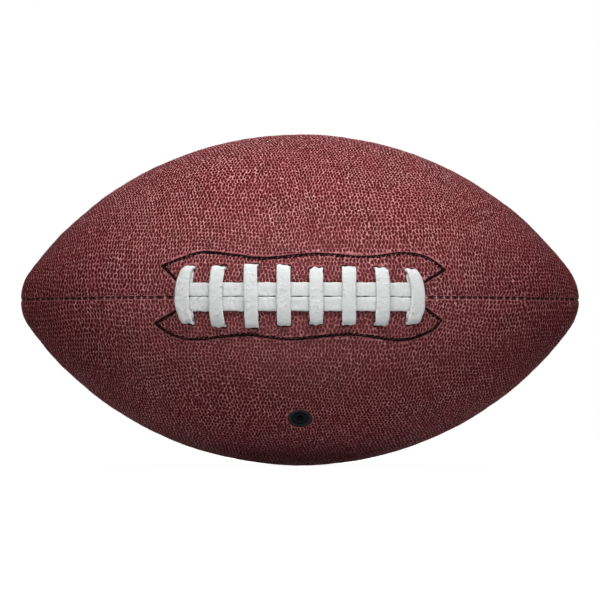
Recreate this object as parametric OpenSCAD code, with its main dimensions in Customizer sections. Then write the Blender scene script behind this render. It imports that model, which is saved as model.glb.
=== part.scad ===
// American football: four sewn panels, each with its own lining, laced over an air bladder.
// The long axis is X, the lace faces -Y and +Z is up. The origin is the centre of the ball.
// Places on the cover are given as x along the ball, s around it from the lace seam
// (positive above it) and h above the cover. Lengths are in millimetres, angles in degrees.

/* [Ball] */
// Length from tip to tip
ball_l = 285; // [250:1:300]
// Diameter at the middle
ball_d = 169; // [150:1:190]
// Radius of the rounded tips
tip_r = 25.4; // [22:0.2:30]
// Radius of the pinhole where the four panels meet at a tip
tip_hole_r = 0.5; // [0.3:0.1:1]

/* [Cover] */
// Thickness of the grained cover material
panel_t = 1.6; // [1.2:0.1:2.4]
// Thickness of the woven lining behind each panel
lining_t = 0.7; // [0.4:0.1:1.2]
// Gap that the glue leaves between two layers
glue_gap = 0.1; // [0.05:0.05:0.2]
// Depth of the turned-in edges below the panel's inner face
seam_allowance = 5; // [4:0.5:7]
// Gap between two panels along a seam
seam_gap = 0.2; // [0.1:0.05:0.4]

/* [Seam stitching] */
// Distance from one stitch to the next
stitch_pitch = 4; // [3:0.25:6]
// Thickness of the sewing thread
thread_d = 0.8; // [0.5:0.1:1]
// Clearance around the thread in its needle hole
needle_clearance = 0.1; // [0.05:0.05:0.2]

/* [Lacing] */
// Number of lace bars, which is also the number of hole pairs
lace_pairs = 8; // [6:1:8]
// Distance from one bar to the next
lace_pitch = 16; // [14:0.2:18]
// Distance from the last full bar's hole to the end hole
lace_end_pitch = 14.6; // [13:0.2:18]
// Distance around the cover from the seam to each row of holes
lace_row = 14.2; // [14:0.1:18]
// Width of the lace
lace_w = 7; // [6:0.1:7.4]
// Thickness of the lace
lace_t = 1.5; // [1.2:0.1:2]
// Width that the lace is drawn in to at a hole
lace_hole_w = 5.6; // [4.5:0.1:6]
// Width that the lace is drawn in to at an end hole, which holds it twice
lace_end_w = 3.6; // [3:0.1:4]
// Gap between two runs of lace that cross
lace_gap = 0.45; // [0.4:0.05:0.6]
// Gap between the lace and the layer that it lies on
lace_float = 0.2; // [0.15:0.05:0.3]
// Clearance around the lace in its holes
hole_clearance = 0.5; // [0.45:0.05:0.6]
// Length of lace tucked away beyond its last hole at either end
tail_l = 4; // [3:0.5:5]
// Outward bow of each end bar
end_bow = 1.8; // [0:0.1:2.4]
// Outward bow of the bar next to each end bar
bar_bow = 1.2; // [0:0.1:2]

/* [Facings and tongue] */
// Thickness of the facings that strengthen the lace holes
facing_t = 1.2; // [0.8:0.1:1.6]
// Height of each stitched outline from the seam, seen from the front
facing_h = 22; // [21:0.1:28]
// Distance from the end holes to the ends of the stitched outlines
facing_over = 17.5; // [14:0.2:22]
// Margin of each facing outside its stitching
facing_margin = 3.5; // [2:0.5:5]
// Thickness of the padded tongue between the lace and the bladder
tongue_t = 1.5; // [1:0.1:2.5]
// Margin of the tongue beyond the end bars
tongue_over = 9; // [7:0.5:12]

/* [Bladder and valve] */
// Wall of the rubber bladder
bladder_t = 0.9; // [0.7:0.1:1.4]
// Gap between the bladder and what it presses on
bladder_gap = 0.2; // [0.1:0.05:0.3]
// Radius of the valve opening in the panel
valve_hole_r = 6; // [5.5:0.1:7]
// Gap between the valve's collar and that opening
collar_gap = 0.3; // [0.2:0.05:0.5]
// Depth of the collar's face below the cover
valve_recess = 0.7; // [0.3:0.1:1.2]
// Length of the valve's tube below the cover
valve_l = 24; // [20:0.5:30]
// Radius of the needle bore
needle_r = 1.05; // [0.8:0.05:1.2]
// Length of the needle bore's straight wall
needle_l = 10; // [8:0.5:12]
// Radius of the patch that strengthens the lining around the valve
patch_r = 18; // [15:0.5:22]
// Thickness of that patch
patch_t = 0.6; // [0.4:0.1:0.8]

/* [Hidden] */

// Counts of straight steps that stand for curves
main_steps = 15;
tip_steps = 5;
wave_steps = 6;
back_steps = 3;
bend_steps = 3;
turn_steps = 5;
strand_steps = 8;
run_steps = 6;
bar_steps = 12;
round_fn = 48;
revolve_fn = 96;
// Overrun of every cut past the face that it opens
cut_over = 1;

// Outline of the ball: a long arc on each side, and a tip arc that it runs into smoothly
half_l = ball_l / 2;
ball_r = ball_d / 2;
tip_x = half_l - tip_r;
side_r = (tip_x * tip_x + ball_r * ball_r - tip_r * tip_r) / (2 * (ball_r - tip_r));
side_drop = side_r - ball_r;
join_a = atan(tip_x / side_drop);

// Layers of the cover, as depths below its outer face
lining_top = panel_t + glue_gap;
lining_low = lining_top + lining_t;
facing_top = lining_low + glue_gap;
facing_low = facing_top + facing_t;
tongue_top = facing_low + lace_float + 2 * lace_t + lace_gap + lace_float;
tongue_low = tongue_top + tongue_t;
bladder_top = lining_low + bladder_gap;
patch_low = lining_low + glue_gap + patch_t;
allowance_low = panel_t + seam_allowance;

// The sandwich of turned-in edges at a seam, as distances from the seam's plane
edge_in = seam_gap / 2;
edge_lining = edge_in + panel_t + glue_gap;
edge_thread = edge_lining + lining_t + needle_clearance;
edge_out = edge_thread + thread_d + bladder_gap;
stitch_depth_share = 0.35;
stitch_low = panel_t + seam_allowance * stitch_depth_share;
// Distance from the long axis inside which nothing is sewn
stitch_stop_r = edge_out + thread_d;

// Lacing
lace_half = (lace_pairs - 3) / 2 * lace_pitch + lace_end_pitch;
// Half the distance between the two runs of lace in an end hole
end_shift = (lace_end_w + lace_gap + lace_float) / 2;
// Half the length of the unsewn stretch of the lace seam
opening_half = lace_half + lace_w;
h_on = lace_float + lace_t / 2;
h_over = h_on + lace_t + lace_gap;
h_in = -(facing_low + lace_float + lace_t / 2);
h_deep = h_in - lace_t - lace_gap;
bend_r = 0.95 * lace_t;
strand_gap = 0.5;
// Share of an inner run that lies straight at each end
run_ease_share = 0.1;
strand_s = (lace_w + strand_gap) / 2;
// Radius of the flat turn at each end of a strand
turn_r = 0.7 * lace_w;
// Rounding of the lace's edges
lace_edge = 0.28 * lace_t;
// Where a bar starts to rise over the strands, and where it is over them
rise_from = lace_row - bend_r;
rise_to = 2 * strand_s + lace_t;
// Where the narrow ends of the end bars begin and stop widening
widen_to = strand_s + lace_w / 3;

// Facings: outline points as shares of half the length and of the height
facing_half = lace_half + facing_over;
facing_upper_tip_shares = [[-0.96, 0.72], [1.01, 0.63]];
facing_upper_back_shares = [[-0.85, 0.36], [0.86, 0.34]];
facing_upper_wave_shares = [
    [-0.84, 0.87], [-0.67, 1.03], [-0.46, 0.96], [-0.24, 0.89], [0.1, 0.98], [0.46, 0.915],
    [0.71, 1.01], [0.88, 0.91]
];
facing_lower_tip_shares = [[-1.01, 0.58], [0.985, 0.52]];
facing_lower_back_shares = [[-0.86, 0.31], [0.86, 0.22]];
facing_lower_wave_shares = [
    [-0.94, 0.76], [-0.84, 0.91], [-0.7, 0.965], [-0.375, 0.87], [-0.06, 0.965], [0.34, 0.86],
    [0.7, 0.98], [0.9, 0.78]
];
// Distance from the seam's plane to the facings' inner edges
facing_edge = edge_lining;
tongue_half_l = lace_half + tongue_over;
tongue_half_w = lace_row + bend_r + tail_l + lace_float;
tongue_corner_r = 6;

// Valve
valve_a = 46;
collar_r = valve_hole_r - collar_gap;
collar_wall = 1.2;
socket_r = collar_r - collar_wall;
socket_t = 1.6;
plug_gap = 0.05;
plug_head_r = socket_r - plug_gap;
plug_lip = 0.9;
plug_r = plug_head_r - plug_lip;
plug_mouth_r = 2 * needle_r;
plug_mouth_t = needle_r;
plug_dome = 0.4;
tube_wall = 1.3;
tube_r = plug_r + plug_gap + tube_wall;
tube_floor = 2;
slit_w = 0.3;
boot_flange_r = 12;
boot_flange_t = 1.2;
bladder_low_at_valve = patch_low + bladder_gap + bladder_t;

function back(list) = [for (i = [len(list) - 1:-1:0]) list[i]];
function flip_x(list) = [for (p = list) [-p[0], p[1]]];
function mix(a, b, u) = a + (b - a) * u;
function ease(u) = let (v = min(1, max(0, u))) v * v * (3 - 2 * v);
function unit(v) = v / norm(v);

// Half of the outline at a depth below the cover, as points [x, radius] from the middle to a tip
function half_outline(depth) = concat(
    [for (i = [0:main_steps]) let (a = join_a * i / main_steps)
        [(side_r - depth) * sin(a), (side_r - depth) * cos(a) - side_drop]],
    [for (i = [1:tip_steps]) let (
        last = acos(tip_hole_r / (tip_r - depth)),
        a = mix(join_a, last, i / tip_steps))
        [tip_x + (tip_r - depth) * sin(a), (tip_r - depth) * cos(a)]]
);
// The whole outline at that depth, from tip to tip
function outline(depth) = let (half = half_outline(depth))
    concat(flip_x(back(half)), [for (i = [1:len(half) - 1]) half[i]]);

// Place of a point on the outline at a depth, by its distance along the outline from the middle
function along_outline(depth, far) = let (
    main_l = (side_r - depth) * join_a * PI / 180,
    a = far < main_l ? far / (side_r - depth) * 180 / PI
        : join_a + (far - main_l) / (tip_r - depth) * 180 / PI)
    far < main_l ? [(side_r - depth) * sin(a), (side_r - depth) * cos(a) - side_drop]
        : [tip_x + (tip_r - depth) * sin(a), (tip_r - depth) * cos(a)];
function outline_length(depth) =
    ((side_r - depth) * join_a + (tip_r - depth) * (90 - join_a)) * PI / 180;

// Radius and lean of the cover at x, on the long arcs
function lean(x) = asin(x / side_r);
function radius_at(x) = side_r * cos(lean(x)) - side_drop;
function turn_at(x, s) = s / radius_at(x) * 180 / PI;

// Directions on the cover: out of it, along the ball, and around the ball
function out_of(x, s) = let (b = lean(x), a = turn_at(x, s))
    [sin(b), -cos(b) * cos(a), cos(b) * sin(a)];
function along(x, s) = let (b = lean(x), a = turn_at(x, s))
    [cos(b), sin(b) * cos(a), -sin(b) * sin(a)];
function around(x, s) = let (a = turn_at(x, s)) [0, sin(a), cos(a)];
function spot(x, s, h) = let (a = turn_at(x, s), r = radius_at(x))
    [x, -r * cos(a), r * sin(a)] + h * out_of(x, s);

// The solid of revolution inside a depth below the cover
module core(depth) {
    points = outline(depth);
    tip = points[len(points) - 1][0];
    rotate([0, 90, 0])
        rotate_extrude($fn = revolve_fn)
            polygon(concat([[0, -tip]], [for (p = points) [p[1], p[0]]], [[0, tip]]));
}

// The layer between two depths, open at the tips by the pinhole
module layer(top, low) {
    rotate([0, 90, 0])
        rotate_extrude($fn = revolve_fn)
            polygon([for (p = concat(outline(top), back(outline(low)))) [p[1], p[0]]]);
}

// What lies in the upper front quarter, at least a distance from both of its seam planes
module quarter(off) {
    intersection() {
        children();
        translate([-ball_l, -ball_d, off]) cube([2 * ball_l, ball_d - off, ball_d]);
    }
}

// Places a quarter: 0 upper front, 1 lower front, 2 lower back, 3 upper back
module at_quarter(index) {
    rotate([90 * index, 0, 0]) children();
}

// Puts an upright shape on the cover at x and s, with its own z pointing out
module on_cover(x, s) {
    rotate([-turn_at(x, s), 0, 0])
        translate([x, -radius_at(x), 0])
            rotate([90, 0, 0])
                rotate([0, lean(x), 0])
                    children();
}

// Places of the stitches of one half of a seam, as points [x, -radius] in the seam's plane
function stitches(laced) = [
    for (far = [stitch_pitch / 2:stitch_pitch:outline_length(stitch_low)])
        let (p = along_outline(stitch_low, far))
            if (p[1] > stitch_stop_r + thread_d && (!laced || p[0] > opening_half + thread_d))
                [p[0], -p[1]]
];

// Flat crescent of a turned-in edge, between two depths and outside a distance from the axis
module crescent(top, low, off_axis, laced) {
    difference() {
        polygon([for (p = concat(outline(top), back(outline(low)))) [p[0], -p[1]]]);
        translate([-ball_l, -off_axis]) square([2 * ball_l, off_axis + cut_over]);
        if (laced) {
            translate([-opening_half, -ball_d]) square([2 * opening_half, ball_d]);
        }
        for (p = stitches(laced)) {
            for (side = [-1, 1]) {
                translate([side * p[0], p[1]])
                    circle(r = thread_d / 2 + needle_clearance, $fn = round_fn);
            }
        }
    }
}

// Turned-in edge on the front seam of the upper front quarter
module turned_edge(top, low, off, thick, off_axis, laced) {
    translate([0, 0, off]) linear_extrude(thick) crescent(top, low, off_axis, laced);
}

// Both turned-in edges of the upper front quarter. front_laced leaves the lace opening unsewn
// on the front seam, and top_laced on the top one.
module turned_edges(top, low, off, thick, off_axis, front_laced, top_laced) {
    turned_edge(top, low, off, thick, off_axis, front_laced);
    mirror([0, 1, 1]) turned_edge(top, low, off, thick, off_axis, top_laced);
}

// Slot with round ends, along its own x
module slot(width, thick, deep) {
    r = thick / 2;
    for (side = [-1, 1]) {
        translate([side * (width / 2 - r), 0, -deep])
            cylinder(r = r, h = deep + cut_over, $fn = round_fn);
    }
    translate([-(width / 2 - r), -r, -deep]) cube([width - thick, thick, deep + cut_over]);
}

// The lace holes of the upper row (1) or lower row (-1), through all layers
module lace_holes(row) {
    slot_t = lace_t + 2 * hole_clearance;
    for (i = [0:lace_pairs - 1]) {
        run_w = is_end(i) ? 2 * end_shift + lace_end_w : lace_hole_w;
        on_cover(hole_x(i), row * lace_row) slot(run_w + 2 * hole_clearance, slot_t, facing_low + cut_over);
    }
}

module valve_place() {
    rotate([valve_a, 0, 0]) translate([0, -ball_r, 0]) rotate([90, 0, 0]) children();
}

// Round opening of the valve through the cover's layers
module valve_opening(r) {
    valve_place()
        translate([0, 0, -bladder_low_at_valve - cut_over])
            cylinder(r = r, h = bladder_low_at_valve + 2 * cut_over, $fn = round_fn);
}

module panel_blank(front_laced, top_laced) {
    quarter(edge_in) layer(0, panel_t);
    turned_edges(panel_t / 2, allowance_low, edge_in, panel_t, edge_in, front_laced, top_laced);
}

module lining_blank(front_laced, top_laced) {
    quarter(edge_lining) layer(lining_top, lining_low);
    turned_edges(lining_top + lining_t / 2, allowance_low, edge_lining, lining_t, edge_lining,
        front_laced, top_laced);
}

module panel_upper_front() {
    color("#7d3238") difference() {
        at_quarter(0) panel_blank(true, false);
        lace_holes(1);
    }
}

module panel_lower_front() {
    color("#7d3238") difference() {
        at_quarter(1) panel_blank(false, true);
        lace_holes(-1);
        valve_opening(valve_hole_r);
    }
}

module panel_upper_back() {
    color("#7d3238") at_quarter(3) panel_blank(false, false);
}

module panel_lower_back() {
    color("#7d3238") at_quarter(2) panel_blank(false, false);
}

module lining_upper_front() {
    color("#d8cdb4") difference() {
        at_quarter(0) lining_blank(true, false);
        lace_holes(1);
    }
}

module lining_lower_front() {
    color("#d8cdb4") difference() {
        at_quarter(1) lining_blank(false, true);
        lace_holes(-1);
        valve_opening(valve_hole_r);
    }
}

module lining_upper_back() {
    color("#d8cdb4") at_quarter(3) lining_blank(false, false);
}

module lining_lower_back() {
    color("#d8cdb4") at_quarter(2) lining_blank(false, false);
}

// Lockstitched thread of the front seam: a run on each side of the turned-in edges, and the
// stitches that join the two runs through them
module seam_thread(laced) {
    difference() {
        union() {
            for (side = [-1, 1]) {
                translate([0, 0, side * (edge_thread + thread_d / 2)])
                    linear_extrude(thread_d, center = true)
                        polygon([for (p = concat(outline(stitch_low - thread_d / 2),
                            back(outline(stitch_low + thread_d / 2)))) [p[0], -p[1]]]);
            }
            for (p = stitches(laced)) {
                for (side = [-1, 1]) {
                    translate([side * p[0], p[1], 0])
                        cylinder(d = thread_d, h = 2 * edge_thread + thread_d, center = true,
                            $fn = round_fn);
                }
            }
        }
        translate([-ball_l, -stitch_stop_r, -ball_r])
            cube([2 * ball_l, 2 * ball_r, ball_d]);
        if (laced) {
            translate([-opening_half, -ball_d, -ball_r]) cube([2 * opening_half, ball_d, ball_d]);
        }
    }
}

module seam_thread_front() {
    color("#4a2226") seam_thread(true);
}

module seam_thread_top() {
    color("#4a2226") rotate([-90, 0, 0]) seam_thread(false);
}

module seam_thread_back() {
    color("#4a2226") rotate([180, 0, 0]) seam_thread(false);
}

module seam_thread_bottom() {
    color("#4a2226") rotate([90, 0, 0]) seam_thread(false);
}

// Point of a smooth curve through points b and c, with a and d as their neighbours
function curve_point(a, b, c, d, u) = 0.5 * (2 * b + (c - a) * u
    + (2 * a - 5 * b + 4 * c - d) * u * u + (3 * b - a - 3 * c + d) * u * u * u);
function smooth_line(points) = let (last = len(points) - 1) concat(
    [for (i = [0:last - 1], k = [0:wave_steps - 1]) curve_point(
        points[max(0, i - 1)], points[i], points[i + 1], points[min(last, i + 2)], k / wave_steps)],
    [points[last]]);

// Outline of a facing's stitching seen from the front, as points [x, z] from left to right.
// grow moves it outwards.
function facing_shares(backs, tips, wave) = concat(
    [for (k = [0:back_steps - 1]) mix(backs[0], tips[0], k / back_steps)],
    smooth_line(concat([tips[0]], wave, [tips[1]])),
    [for (k = [1:back_steps]) mix(tips[1], backs[1], k / back_steps)]);
function facing_line(upper, grow) = let (
    shares = upper
        ? facing_shares(facing_upper_back_shares, facing_upper_tip_shares, facing_upper_wave_shares)
        : facing_shares(facing_lower_back_shares, facing_lower_tip_shares, facing_lower_wave_shares))
    [for (p = shares) [p[0] * (facing_half + grow), (upper ? 1 : -1) * p[1] * (facing_h + grow)]];

// Facing: a curved piece of webbing under the lining, with its lace holes
module facing(upper) {
    line = facing_line(upper, facing_margin);
    side = upper ? 1 : -1;
    first = line[0];
    last = line[len(line) - 1];
    difference() {
        intersection() {
            layer(facing_top, facing_low);
            rotate([90, 0, 0])
                linear_extrude(ball_d)
                    polygon(concat([[first[0], side * facing_edge]], line,
                        [[last[0], side * facing_edge]]));
        }
        for (x = [-1, 1]) {
            translate([x * (opening_half - bladder_gap + ball_l / 2), -ball_r, 0])
                cube([ball_l, ball_d, 2 * (edge_out + bladder_gap)], center = true);
        }
        lace_holes(side);
    }
}

module facing_upper() {
    color("#c9bb9a") facing(true);
}

module facing_lower() {
    color("#c9bb9a") facing(false);
}

// Closed tube along rings of points, all with the same number of points
module skin(rings) {
    n = len(rings[0]);
    points = [for (ring = rings) each ring];
    sides = [for (i = [0:len(rings) - 2], k = [0:n - 1]) let (a = i * n + k, b = i * n + (k + 1) % n)
        each [[a, a + n, b], [b, a + n, b + n]]];
    last = (len(rings) - 1) * n;
    caps = [for (k = [1:n - 2]) each [[0, k, k + 1], [last, last + k + 1, last + k]]];
    polyhedron(points = points, faces = concat(sides, caps));
}

// Round thread along points, lying flat against the ball
module thread_line(points) {
    last = len(points) - 1;
    sides = 6;
    skin([for (i = [0:last]) let (
        t = unit(points[min(last, i + 1)] - points[max(0, i - 1)]),
        n = unit([0, points[i][1], points[i][2]]),
        w = unit(cross(t, n)),
        v = cross(w, t))
        [for (k = [0:sides - 1]) points[i] + thread_d / 2 * (cos(360 * k / sides) * w
            + sin(360 * k / sides) * v)]]);
}

// A facing's stitching: the run that shows on the cover, and the one on the facing's inner face
module facing_thread(upper) {
    line = facing_line(upper, 0);
    for (h = [needle_clearance + thread_d / 2, -(facing_low + needle_clearance + thread_d / 2)]) {
        thread_line([for (p = line) let (r = radius_at(p[0]), s = asin(p[1] / r) * r * PI / 180)
            spot(p[0], s, h)]);
    }
}

module facing_thread_upper() {
    color("#1c1214") facing_thread(true);
}

module facing_thread_lower() {
    color("#1c1214") facing_thread(false);
}

// Lace. A station of its route is [x, s, h, angle of its width from the ball's length, width].
function hole_x(i) = i == 0 ? -lace_half : i == lace_pairs - 1 ? lace_half
    : (i - (lace_pairs - 1) / 2) * lace_pitch;
function bar_x(i) = i == 0 ? hole_x(0) - end_shift
    : i == lace_pairs - 1 ? hole_x(i) + end_shift : hole_x(i);
function is_end(i) = i == 0 || i == lace_pairs - 1;
function bar_hole_w(i) = is_end(i) ? lace_end_w : lace_hole_w;
function bar_side(i) = i * 2 < lace_pairs - 1 ? -1 : 1;

// The way down through a hole: from its outer run, which lies on the side out_side of the hole,
// to its inner run on the side in_side, at height low
function way_down(x, s, out_side, in_side, low, angle, width) = concat(
    [for (i = [0:bend_steps]) let (a = 90 * i / bend_steps)
        [x, s + out_side * bend_r * (1 - sin(a)), h_on - bend_r * (1 - cos(a)), angle, width]],
    [for (i = [0:bend_steps]) let (a = 90 * i / bend_steps)
        [x, s + in_side * bend_r * (1 - cos(a)), low + bend_r * (1 - sin(a)), angle, width]]);
function way_up(x, s, out_side, in_side, low, angle, width) =
    back(way_down(x, s, out_side, in_side, low, angle, width));

// A bar on the outside, from the upper row to the lower one
function bar(i) = let (
    far = lace_row - bend_r,
    bow = is_end(i) ? end_bow : i == 1 || i == lace_pairs - 2 ? bar_bow : 0)
    [for (k = [1:bar_steps - 1]) let (
        s = far * (1 - 2 * k / bar_steps),
        x = bar_x(i) + bar_side(i) * bow * (1 - pow(s / far, 2)),
        lean_in = -2 * bar_side(i) * bow * s / (far * far),
        h = mix(h_on, h_over, ease((rise_from - abs(s)) / (rise_from - rise_to))),
        w = is_end(i) ? mix(lace_end_w, lace_w, ease((rise_to - abs(s)) / (rise_to - widen_to)))
            : mix(lace_hole_w, lace_w, ease((rise_from - abs(s)) / lace_t)))
        [x, s, h, -atan(lean_in), w]];

// Place along the ball of a point of an inner run, which leaves both rows at right angles
function run_x(from, to, u) = mix(from, to, ease((u - run_ease_share) / (1 - 2 * run_ease_share)));

// An inner run from the lower row at x = from to the upper row at x = to
function inner_run(from, to, low, w_from, w_to, w_mid) = let (far = lace_row - bend_r)
    [for (k = [1:run_steps - 1]) let (
        u = k / run_steps,
        step = 1 / run_steps,
        slope = (run_x(from, to, u + step) - run_x(from, to, u - step)) / (4 * far * step),
        w = min(w_mid, mix(w_from, w_to, u) + 4 * lace_t * min(u, 1 - u)))
        [run_x(from, to, u), far * (2 * u - 1), low, -atan(slope), w]];

// A strand on the outside, from the right end hole of the upper row to the left one
function strand() = let (
    x = hole_x(lace_pairs - 1) - end_shift,
    high = strand_s + turn_r,
    far = lace_row - bend_r,
    root = [[x, mix(far, high, 0.5), h_on, 0, lace_end_w]],
    right = [for (k = [0:turn_steps]) let (a = 90 * k / turn_steps)
        [x - turn_r * (1 - cos(a)), high - turn_r * sin(a), h_on, -a,
            mix(lace_end_w, lace_w, ease(k / turn_steps))]],
    middle = [for (k = [1:strand_steps - 1])
        [mix(x - turn_r, turn_r - x, k / strand_steps), strand_s, h_on, -90, lace_w]])
    concat(root, right, middle,
        [for (p = back(concat(root, right))) [-p[0], p[1], p[2], -180 - p[3], p[4]]]);
function half_turn(list) = [for (p = list) [-p[0], -p[1], p[2], p[3] - 180, p[4]]];

// Half of an end run's width grows to this between the two rows
inner_w = 1.25 * lace_end_w;
function lace_route() = let (
    n = lace_pairs - 1,
    inner_left = hole_x(0) + end_shift,
    inner_right = hole_x(n) - end_shift,
    row = lace_row)
    concat(
        // tucked end, then every bar with the inner run that leads to the next
        [[bar_x(0), row + bend_r + tail_l, h_in, 0, lace_end_w]],
        [for (i = [0:n]) each concat(
            way_up(bar_x(i), row, -1, i == 0 ? 1 : -1, i == 0 ? h_in : i == 1 || i == n ? h_deep
                : h_in, 0, bar_hole_w(i)),
            bar(i),
            way_down(bar_x(i), -row, 1, 1, i == 0 || i == n - 1 ? h_deep : h_in, 0, bar_hole_w(i)),
            i < n ? inner_run(bar_x(i), bar_x(i + 1), i == 0 || i == n - 1 ? h_deep : h_in,
                bar_hole_w(i), bar_hole_w(i + 1), is_end(i) || is_end(i + 1) ? lace_hole_w : lace_w)
                : inner_run(bar_x(n), inner_right, h_in, lace_end_w, lace_end_w, inner_w))],
        // upper strand to the left, and the inner run down to the lower row
        way_up(inner_right, row, -1, -1, h_in, 0, lace_end_w),
        strand(),
        way_down(inner_left, row, -1, -1, h_in, -180, lace_end_w),
        [for (p = back(inner_run(inner_left, inner_left, h_in, lace_end_w, lace_end_w, inner_w)))
            [p[0], p[1], p[2], -180, p[4]]],
        way_up(inner_left, -row, 1, 1, h_in, -180, lace_end_w),
        // lower strand to the right, and the other tucked end
        half_turn(strand()),
        way_down(inner_right, -row, 1, -1, h_in, -360, lace_end_w),
        [[inner_right, -row - bend_r - tail_l, h_in, -360, lace_end_w]]
    );

// Rounded cross-section of the lace, as points [across, through]
function lace_section(w) = let (a = w / 2, b = lace_t / 2, c = lace_edge)
    [[a, c - b], [a, b - c], [a - c, b], [c - a, b], [-a, b - c], [-a, c - b], [c - a, -b], [a - c, -b]];
function lace_rings() = let (
    route = lace_route(),
    centres = [for (p = route) spot(p[0], p[1], p[2])],
    last = len(route) - 1)
    [for (i = [0:last]) let (
        p = route[i],
        t = unit(centres[min(last, i + 1)] - centres[max(0, i - 1)]),
        flat = cos(p[3]) * along(p[0], p[1]) + sin(p[3]) * around(p[0], p[1]),
        w = unit(flat - (flat * t) * t),
        v = cross(t, w))
        [for (q = lace_section(p[4])) centres[i] + q[0] * w + q[1] * v]];

// Least distance between points of the lace that are over a bend apart along it
function least_gap(rings, apart) = min([
    for (i = [0:len(rings) - 1 - apart], j = [i + apart:len(rings) - 1])
        let (a = rings[i], b = rings[j])
            if (norm(a[0] - b[0]) < 3 * lace_w)
                min([for (p = a, q = b) norm(p - q)])
]);

module lace() {
    rings = lace_rings();
    echo(lace_least_gap = least_gap(rings, 3 * bend_steps), lace_rings = len(rings));
    color("#e9ecea") skin(rings);
}

// Tongue: a padded strip that keeps the lace off the bladder
module lace_tongue() {
    r = tongue_corner_r;
    color("#2b2b2b") intersection() {
        layer(tongue_top, tongue_low);
        rotate([90, 0, 0]) linear_extrude(ball_d) {
            square([2 * tongue_half_l, 2 * (tongue_half_w - r)], center = true);
            square([2 * (tongue_half_l - r), 2 * tongue_half_w], center = true);
            for (x = [-1, 1], z = [-1, 1]) {
                translate([x * (tongue_half_l - r), z * (tongue_half_w - r)])
                    circle(r = r, $fn = round_fn);
            }
        }
    }
}

// The bladder's outer form, shrunk by a distance: pressed against the linings, with grooves
// for the turned-in edges and hollows for the facings, the tongue and the valve's patch
module bladder_form(shrink) {
    gap = bladder_gap + shrink;
    difference() {
        core(bladder_top + shrink);
        difference() {
            union() {
                cube([2 * ball_l, 2 * ball_d, 2 * (edge_out + shrink)], center = true);
                cube([2 * ball_l, 2 * (edge_out + shrink), 2 * ball_d], center = true);
            }
            core(allowance_low + gap);
        }
        difference() {
            hollow_x = facing_half + facing_margin + thread_d + gap;
            hollow_z = facing_h + facing_margin + thread_d + gap;
            translate([-hollow_x, -ball_d, -hollow_z]) cube([2 * hollow_x, ball_d, 2 * hollow_z]);
            core(facing_low + needle_clearance + thread_d + gap);
        }
        difference() {
            translate([-tongue_half_l - gap, -ball_d, -tongue_half_w - gap])
                cube([2 * (tongue_half_l + gap), ball_d, 2 * (tongue_half_w + gap)]);
            core(tongue_low + gap);
        }
        difference() {
            valve_place() cylinder(r = patch_r + gap, h = ball_d, center = true, $fn = round_fn);
            core(patch_low + gap);
        }
    }
}

module bladder() {
    color("#3a3a3c") difference() {
        bladder_form(0);
        bladder_form(bladder_t);
        valve_opening(collar_r + glue_gap);
    }
}

// Patch: a round piece of webbing glued behind the lining at the valve
module valve_patch() {
    color("#c9bb9a") difference() {
        intersection() {
            layer(lining_low + glue_gap, patch_low);
            valve_place()
                translate([0, 0, -ball_r])
                    cylinder(r = patch_r, h = ball_r + cut_over, $fn = round_fn);
        }
        valve_opening(valve_hole_r);
    }
}

// Boot: the rubber tube bonded inside the bladder, whose collar shows in the panel's opening
module valve_boot() {
    flange_top = bladder_low_at_valve + glue_gap;
    color("#26282a") difference() {
        union() {
            intersection() {
                layer(flange_top, flange_top + boot_flange_t);
                valve_place()
                    translate([0, 0, -ball_r])
                        cylinder(r = boot_flange_r, h = ball_r + cut_over, $fn = round_fn);
            }
            valve_place() {
                translate([0, 0, -flange_top - boot_flange_t])
                    cylinder(r = collar_r, h = flange_top + boot_flange_t - valve_recess,
                        $fn = round_fn);
                translate([0, 0, -valve_l])
                    cylinder(r = tube_r, h = valve_l - flange_top, $fn = round_fn);
            }
        }
        valve_place() {
            translate([0, 0, -valve_recess - socket_t])
                cylinder(r = socket_r, h = socket_t + valve_recess + cut_over, $fn = round_fn);
            translate([0, 0, tube_floor - valve_l])
                cylinder(r = plug_r + plug_gap, h = valve_l, $fn = round_fn);
            translate([-slit_w / 2, -plug_r, -valve_l - cut_over])
                cube([slit_w, 2 * plug_r, tube_floor + 2 * cut_over]);
        }
    }
}

// Plug: the self-closing insert with the needle's bore, which ends in a closed slit
module valve_plug() {
    head_low = valve_recess + socket_t - plug_gap;
    head_top = valve_recess + plug_dome;
    bore_top = head_top + plug_mouth_t;
    plug_low = valve_l - tube_floor - plug_gap;
    color("#141617") difference() {
        valve_place() {
            translate([0, 0, -head_low])
                cylinder(r = plug_head_r, h = head_low - head_top, $fn = round_fn);
            translate([0, 0, -plug_low])
                cylinder(r = plug_r, h = plug_low - valve_recess, $fn = round_fn);
        }
        valve_place() {
            translate([0, 0, -bore_top])
                cylinder(r1 = needle_r, r2 = plug_mouth_r, h = plug_mouth_t + plug_dome,
                    $fn = round_fn);
            translate([0, 0, -bore_top - needle_l])
                cylinder(r = needle_r, h = needle_l + cut_over / 2, $fn = round_fn);
        }
    }
}

panel_upper_front();
panel_lower_front();
panel_upper_back();
panel_lower_back();
lining_upper_front();
lining_lower_front();
lining_upper_back();
lining_lower_back();
seam_thread_front();
seam_thread_top();
seam_thread_back();
seam_thread_bottom();
facing_upper();
facing_lower();
facing_thread_upper();
facing_thread_lower();
lace();
lace_tongue();
bladder();
valve_patch();
valve_boot();
valve_plug();
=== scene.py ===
"""Looks of an American football: pebbled cover, white lace, stitching and valve.

Lengths are in millimetres until a mesh is made. A place on the cover is given by x along the ball,
s around it from the lace seam (positive above it) and h above the cover, or on a panel by u along
its outline and v across it from its middle line.
"""

import math

import bpy
import numpy as np
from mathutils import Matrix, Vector
from mathutils.geometry import delaunay_2d_cdt


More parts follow.
